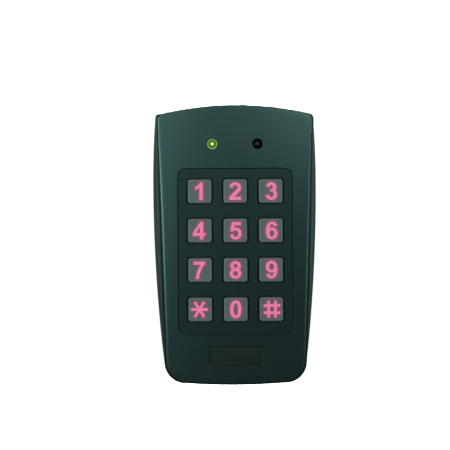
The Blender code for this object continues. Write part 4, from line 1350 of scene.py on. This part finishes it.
def jacket():
    """The cable's outer jacket, cut square at both ends."""
    left, right, back, front, foot, top = node_box("cable_jacket")
    outer, inner = (right - left) / 2, 2.35 * MM
    soft = 0.12 * MM
    profile = [(outer, depth) for depth in spread(front - soft, back + soft, 30)]
    profile += [(outer - soft, back), (inner + soft, back), (inner, back + soft)]
    profile += [(inner, front - soft), (inner + soft, front), (outer - soft, front)]
    sleeve = to_object("cable_sleeve", closed_turning(profile, centre_of("cable_jacket")))
    place(sleeve, "housing", BLACK_RUBBER, ["cable_jacket"])


def wire_path(number):
    """Points along one conductor: from its header pin, round the bend and out of the jacket."""
    angle = math.radians(WIRE_SLOTS[number])
    across, outward = WIRE_RING * math.cos(angle), WIRE_RING * math.sin(angle)
    header = node_box("wire_header")
    pin_x = (number - (len(WIRE_COLOURS) - 1) / 2) * PIN_PITCH
    depth = 12.4 * MM
    cable_z = centre_of("cable_jacket")[1]
    start, bend = header[5] + 0.3 * MM, cable_z - WIRE_BEND
    points = []
    for share in spread(0, 1, 5):
        ease = share * share * (3 - 2 * share)
        points.append((pin_x + (across - pin_x) * ease, -(depth + outward * ease), start + (bend - start) * share))
    reach = WIRE_BEND + outward
    for turn in spread(0, math.pi / 2, 5)[1:]:
        points.append((across, -(depth - WIRE_BEND + reach * math.cos(turn)), bend + reach * math.sin(turn)))
    mouth = node_box("cable_jacket")[2]
    fan = 1.0 + 0.9 * (1 + math.cos(3 * angle)) / 2
    for depth, apart in ((mouth, 1.0), (mouth - WIRE_TAIL / 2, 1.3 * fan), (mouth - WIRE_TAIL, 1.6 * fan)):
        points.append((across * apart, -depth, cable_z + outward * apart))
    return [Vector(point) for point in points]


def eased(points, per_span=6):
    """A smooth curve through the points."""
    fine = []
    last = len(points) - 1
    for i in range(last):
        p0, p1, p2, p3 = points[max(i - 1, 0)], points[i], points[i + 1], points[min(i + 2, last)]
        for step in range(per_span):
            t = step / per_span
            fine.append(
                0.5 * (2 * p1 + (p2 - p0) * t + (2 * p0 - 5 * p1 + 4 * p2 - p3) * t**2
                       + (3 * p1 - p0 - 3 * p2 + p3) * t**3)
            )
    return fine + [points[-1]]


def sweep(bm, path, radius, steps=20, soft=0.0, twist=0.0, offset=(0, 0)):
    """A round bar along a path; offset shifts it sideways, and twist turns that offset along the way."""
    side = Vector((1, 0, 0))
    rings = []
    along = 0.0
    for i, point in enumerate(path):
        ahead = (path[min(i + 1, len(path) - 1)] - path[max(i - 1, 0)]).normalized()
        side = (side - ahead * side.dot(ahead)).normalized()
        up = ahead.cross(side)
        along += (point - path[i - 1]).length if i else 0.0
        turn = math.atan2(offset[1], offset[0]) + along * twist
        shift = math.hypot(*offset)
        centre = point + side * shift * math.cos(turn) + up * shift * math.sin(turn)
        around = [2 * math.pi * k / steps for k in range(steps)]
        shrink = radius - soft if i in (0, len(path) - 1) else radius
        rings.append([centre + (side * math.cos(a) + up * math.sin(a)) * shrink for a in around])
    loft(bm, rings)
    return bm


def cut_back(path, length):
    """The path without its last stretch, and that stretch."""
    left = length
    for i in range(len(path) - 1, 0, -1):
        span = (path[i] - path[i - 1]).length
        if span > left:
            end = path[i].lerp(path[i - 1], left / span)
            return path[:i] + [end], [end] + path[i:]
        left -= span
    return path, []


def wires():
    for number, colour in enumerate(WIRE_COLOURS):
        insulated, bare = cut_back(eased(wire_path(number)), STRIPPED)
        sleeve = to_object(f"wire_{colour}_sleeve", sweep(bmesh.new(), insulated, WIRE_RADIUS, 20, 0.06 * MM), 50)
        place(sleeve, "housing", WIRE_PAINT[colour], [f"wire_{colour}"])
        bare = [insulated[-2].lerp(insulated[-1], 0.5)] + [bare[0].lerp(bare[-1], i / 12) for i in range(13)]
        strands = sweep(bmesh.new(), bare, 0.125 * MM, 10, 0.03 * MM)
        for k in range(6):
            angle = k * math.pi / 3
            offset = (0.245 * MM * math.cos(angle), 0.245 * MM * math.sin(angle))
            sweep(strands, bare, 0.125 * MM, 10, 0.03 * MM, 900.0, offset)
        place(to_object(f"wire_{colour}_strands", strands, 50), "housing", COPPER)


# ---------------------------------------------------------------- CAD nodes that are shown as they are

EDGE_BREAK = 0.12 * MM


def carry_over(node, material, edge=EDGE_BREAK):
    """Dresses a CAD node: its faces are joined up, its corners broken, and it gets its material."""
    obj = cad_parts[node]
    weld = obj.modifiers.new("join_faces", "WELD")
    weld.merge_threshold = 1e-6
    bevel = obj.modifiers.new("broken_edges", "BEVEL")
    bevel.width = edge
    bevel.segments = 2
    bevel.limit_method = "ANGLE"
    bevel.angle_limit = math.radians(40)
    obj.data.materials.clear()
    obj.data.materials.append(material)


def inner_parts():
    for number in range(1, 5):
        carry_over(f"pcb_screw_{number}", STEEL, 0.08 * MM)
        carry_over(f"cover_screw_{number}", STEEL, 0.08 * MM)
    for number in range(1, 7):
        carry_over(f"backlight_{number}", LAMP_BODY, 0.08 * MM)
    carry_over("rear_cover", INNER_PLASTIC)
    carry_over("cover_gasket", BLACK_RUBBER, 0.1 * MM)
    carry_over("main_pcb", BOARD, 0.06 * MM)
    carry_over("microcontroller", EPOXY)
    carry_over("voltage_regulator", EPOXY)
    carry_over("tamper_sensor", EPOXY)
    carry_over("buzzer", EPOXY, 0.2 * MM)
    carry_over("wire_header", NYLON)
    carry_over("capacitor", ALUMINIUM, 0.2 * MM)
    carry_over("antenna_coil", COIL, 0.05 * MM)
    carry_over("screw_insert", BRASS, 0.08 * MM)


# ---------------------------------------------------------------- stage, light and camera


COVE_FLOOR = 1.6  # radius of the flat part
COVE_WALL = 2.4
COVE_CURVE = 0.8
COVE_CEILING = 3.0
COVE_SHADE = (0.05, 0.05, 0.05)  # how bright the cove is in reflections and bounced light
COVE_WHITE = 0.96


def stage():
    """A pale studio cove all round and overhead, so that every side is seen against the same plain ground."""
    floor = FOOT - 90 * MM
    profile = [(0, floor)]
    for angle in spread(0, math.pi / 2, 9):
        across = COVE_FLOOR + COVE_CURVE * math.sin(angle)
        profile.append((across, floor + COVE_CURVE * (1 - math.cos(angle))))
    profile += [(COVE_WALL, COVE_CEILING - 1.0), (COVE_FLOOR, COVE_CEILING), (0, COVE_CEILING)]
    cove = to_object("studio_cove", revolve(bmesh.new(), profile, (0, 0, 0), (0, 0, 1), 64), 60)
    shader = Shader("cove_paint")
    tone = shader.remap(shader.noise(3, 2), 0.3, 0.7, 0.0, 1.0)
    camera_ray = shader.node("ShaderNodeLightPath").outputs["Is Camera Ray"]
    paint = shader.mix(tone, (0.80, 0.80, 0.79), (0.84, 0.84, 0.83))
    shader.set("Base Color", shader.mix(camera_ray, COVE_SHADE, paint))
    shader.set("Roughness", 0.9)
    shader.set("Emission Color", (1.0, 1.0, 1.0, 1.0))
    shader.set("Emission Strength", shader.remap(camera_ray, 0.0, 1.0, 0.01, COVE_WHITE))
    cove.data.materials.append(shader.material)


def area_light(name, azimuth, elevation, distance, size, power, tint=(1.0, 1.0, 1.0)):
    """A soft box that faces the reader; azimuth 0 is straight in front, and positive towards +X."""
    data = bpy.data.lights.new(name, "AREA")
    data.color = tint
    data.shape = "RECTANGLE"
    data.size, data.size_y = size
    data.energy = power
    obj = bpy.data.objects.new(name, data)
    obj.location = direction(azimuth, elevation) * distance
    obj.rotation_mode = "QUATERNION"
    obj.rotation_quaternion = (-obj.location).to_track_quat("-Z", "Y")
    obj.visible_camera = False
    bpy.context.scene.collection.objects.link(obj)


def direction(azimuth, elevation):
    a, e = math.radians(azimuth), math.radians(elevation)
    return Vector((math.sin(a) * math.cos(e), -math.cos(a) * math.cos(e), math.sin(e)))


SIDE_TINT = (0.62, 1.0, 0.95)


def studio_lights():
    # name, azimuth, elevation, distance, size, watts
    area_light("front_right_box", 16, 19, 1.2, (0.4, 0.25), 2.8)
    area_light("front_left_box", -16, 18, 1.2, (0.4, 0.25), 1.5)
    area_light("left_edge_box", -24, 5, 1.1, (0.12, 0.3), 3.2)
    area_light("left_edge_strip", -32, 7, 1.1, (0.2, 0.6), 2.8)
    area_light("right_edge_strip", 35, 5, 1.1, (0.15, 0.6), 2.8)
    area_light("left_side_box", -95, 12, 1.2, (0.5, 0.6), 1.9, SIDE_TINT)
    area_light("right_side_box", 95, 12, 1.2, (0.5, 0.6), 1.7, SIDE_TINT)
    area_light("left_wall_box", -140, 8, 1.2, (0.5, 0.6), 0.8, SIDE_TINT)
    area_light("right_wall_box", 140, 8, 1.2, (0.5, 0.6), 0.8, SIDE_TINT)
    area_light("rear_box", 180, 35, 1.2, (0.3, 0.5), 22)


CAMERA_DISTANCE = 0.8
CAMERA_AZIMUTH, CAMERA_ELEVATION, CAMERA_ROLL = -0.71, 0.32, 0.316  # degrees
CAMERA_AIM = (-4.94 * MM, 9.47 * MM)  # where it points, right of and above the middle of the face
FRAME_WIDTH = 215.3 * MM  # how much of the face's plane the frame spans


def camera():
    data = bpy.data.cameras.new("camera")
    data.sensor_width = 36.0
    data.lens = data.sensor_width * CAMERA_DISTANCE / FRAME_WIDTH
    data.clip_start = 0.05
    obj = bpy.data.objects.new("camera", data)
    back = direction(CAMERA_AZIMUTH, CAMERA_ELEVATION)
    right = Vector((0, 0, 1)).cross(back).normalized()
    up = back.cross(right)
    middle = Vector((0, -FACE_CREST, 0))
    aim = middle + right * CAMERA_AIM[0] + up * CAMERA_AIM[1]
    obj.location = middle + back * CAMERA_DISTANCE
    obj.rotation_mode = "QUATERNION"
    look = (aim - obj.location).to_track_quat("-Z", "Y")
    obj.rotation_quaternion = look @ Quaternion((0, 0, 1), -math.radians(CAMERA_ROLL))
    bpy.context.scene.collection.objects.link(obj)
    bpy.context.scene.camera = obj


front_cover()
badge_plate()
for key in KEY_NAMES:
    key_cap(key)
indicator("status_led", LIT_LENS)
indicator("mode_led", DARK_LENS)
mat_sheet()
for key in KEY_NAMES:
    dome(key)
back_plate()
security_screw()
grommet()
jacket()
wires()
inner_parts()
stage()
studio_lights()
camera()
bpy.context.scene.view_settings.view_transform = "Standard"
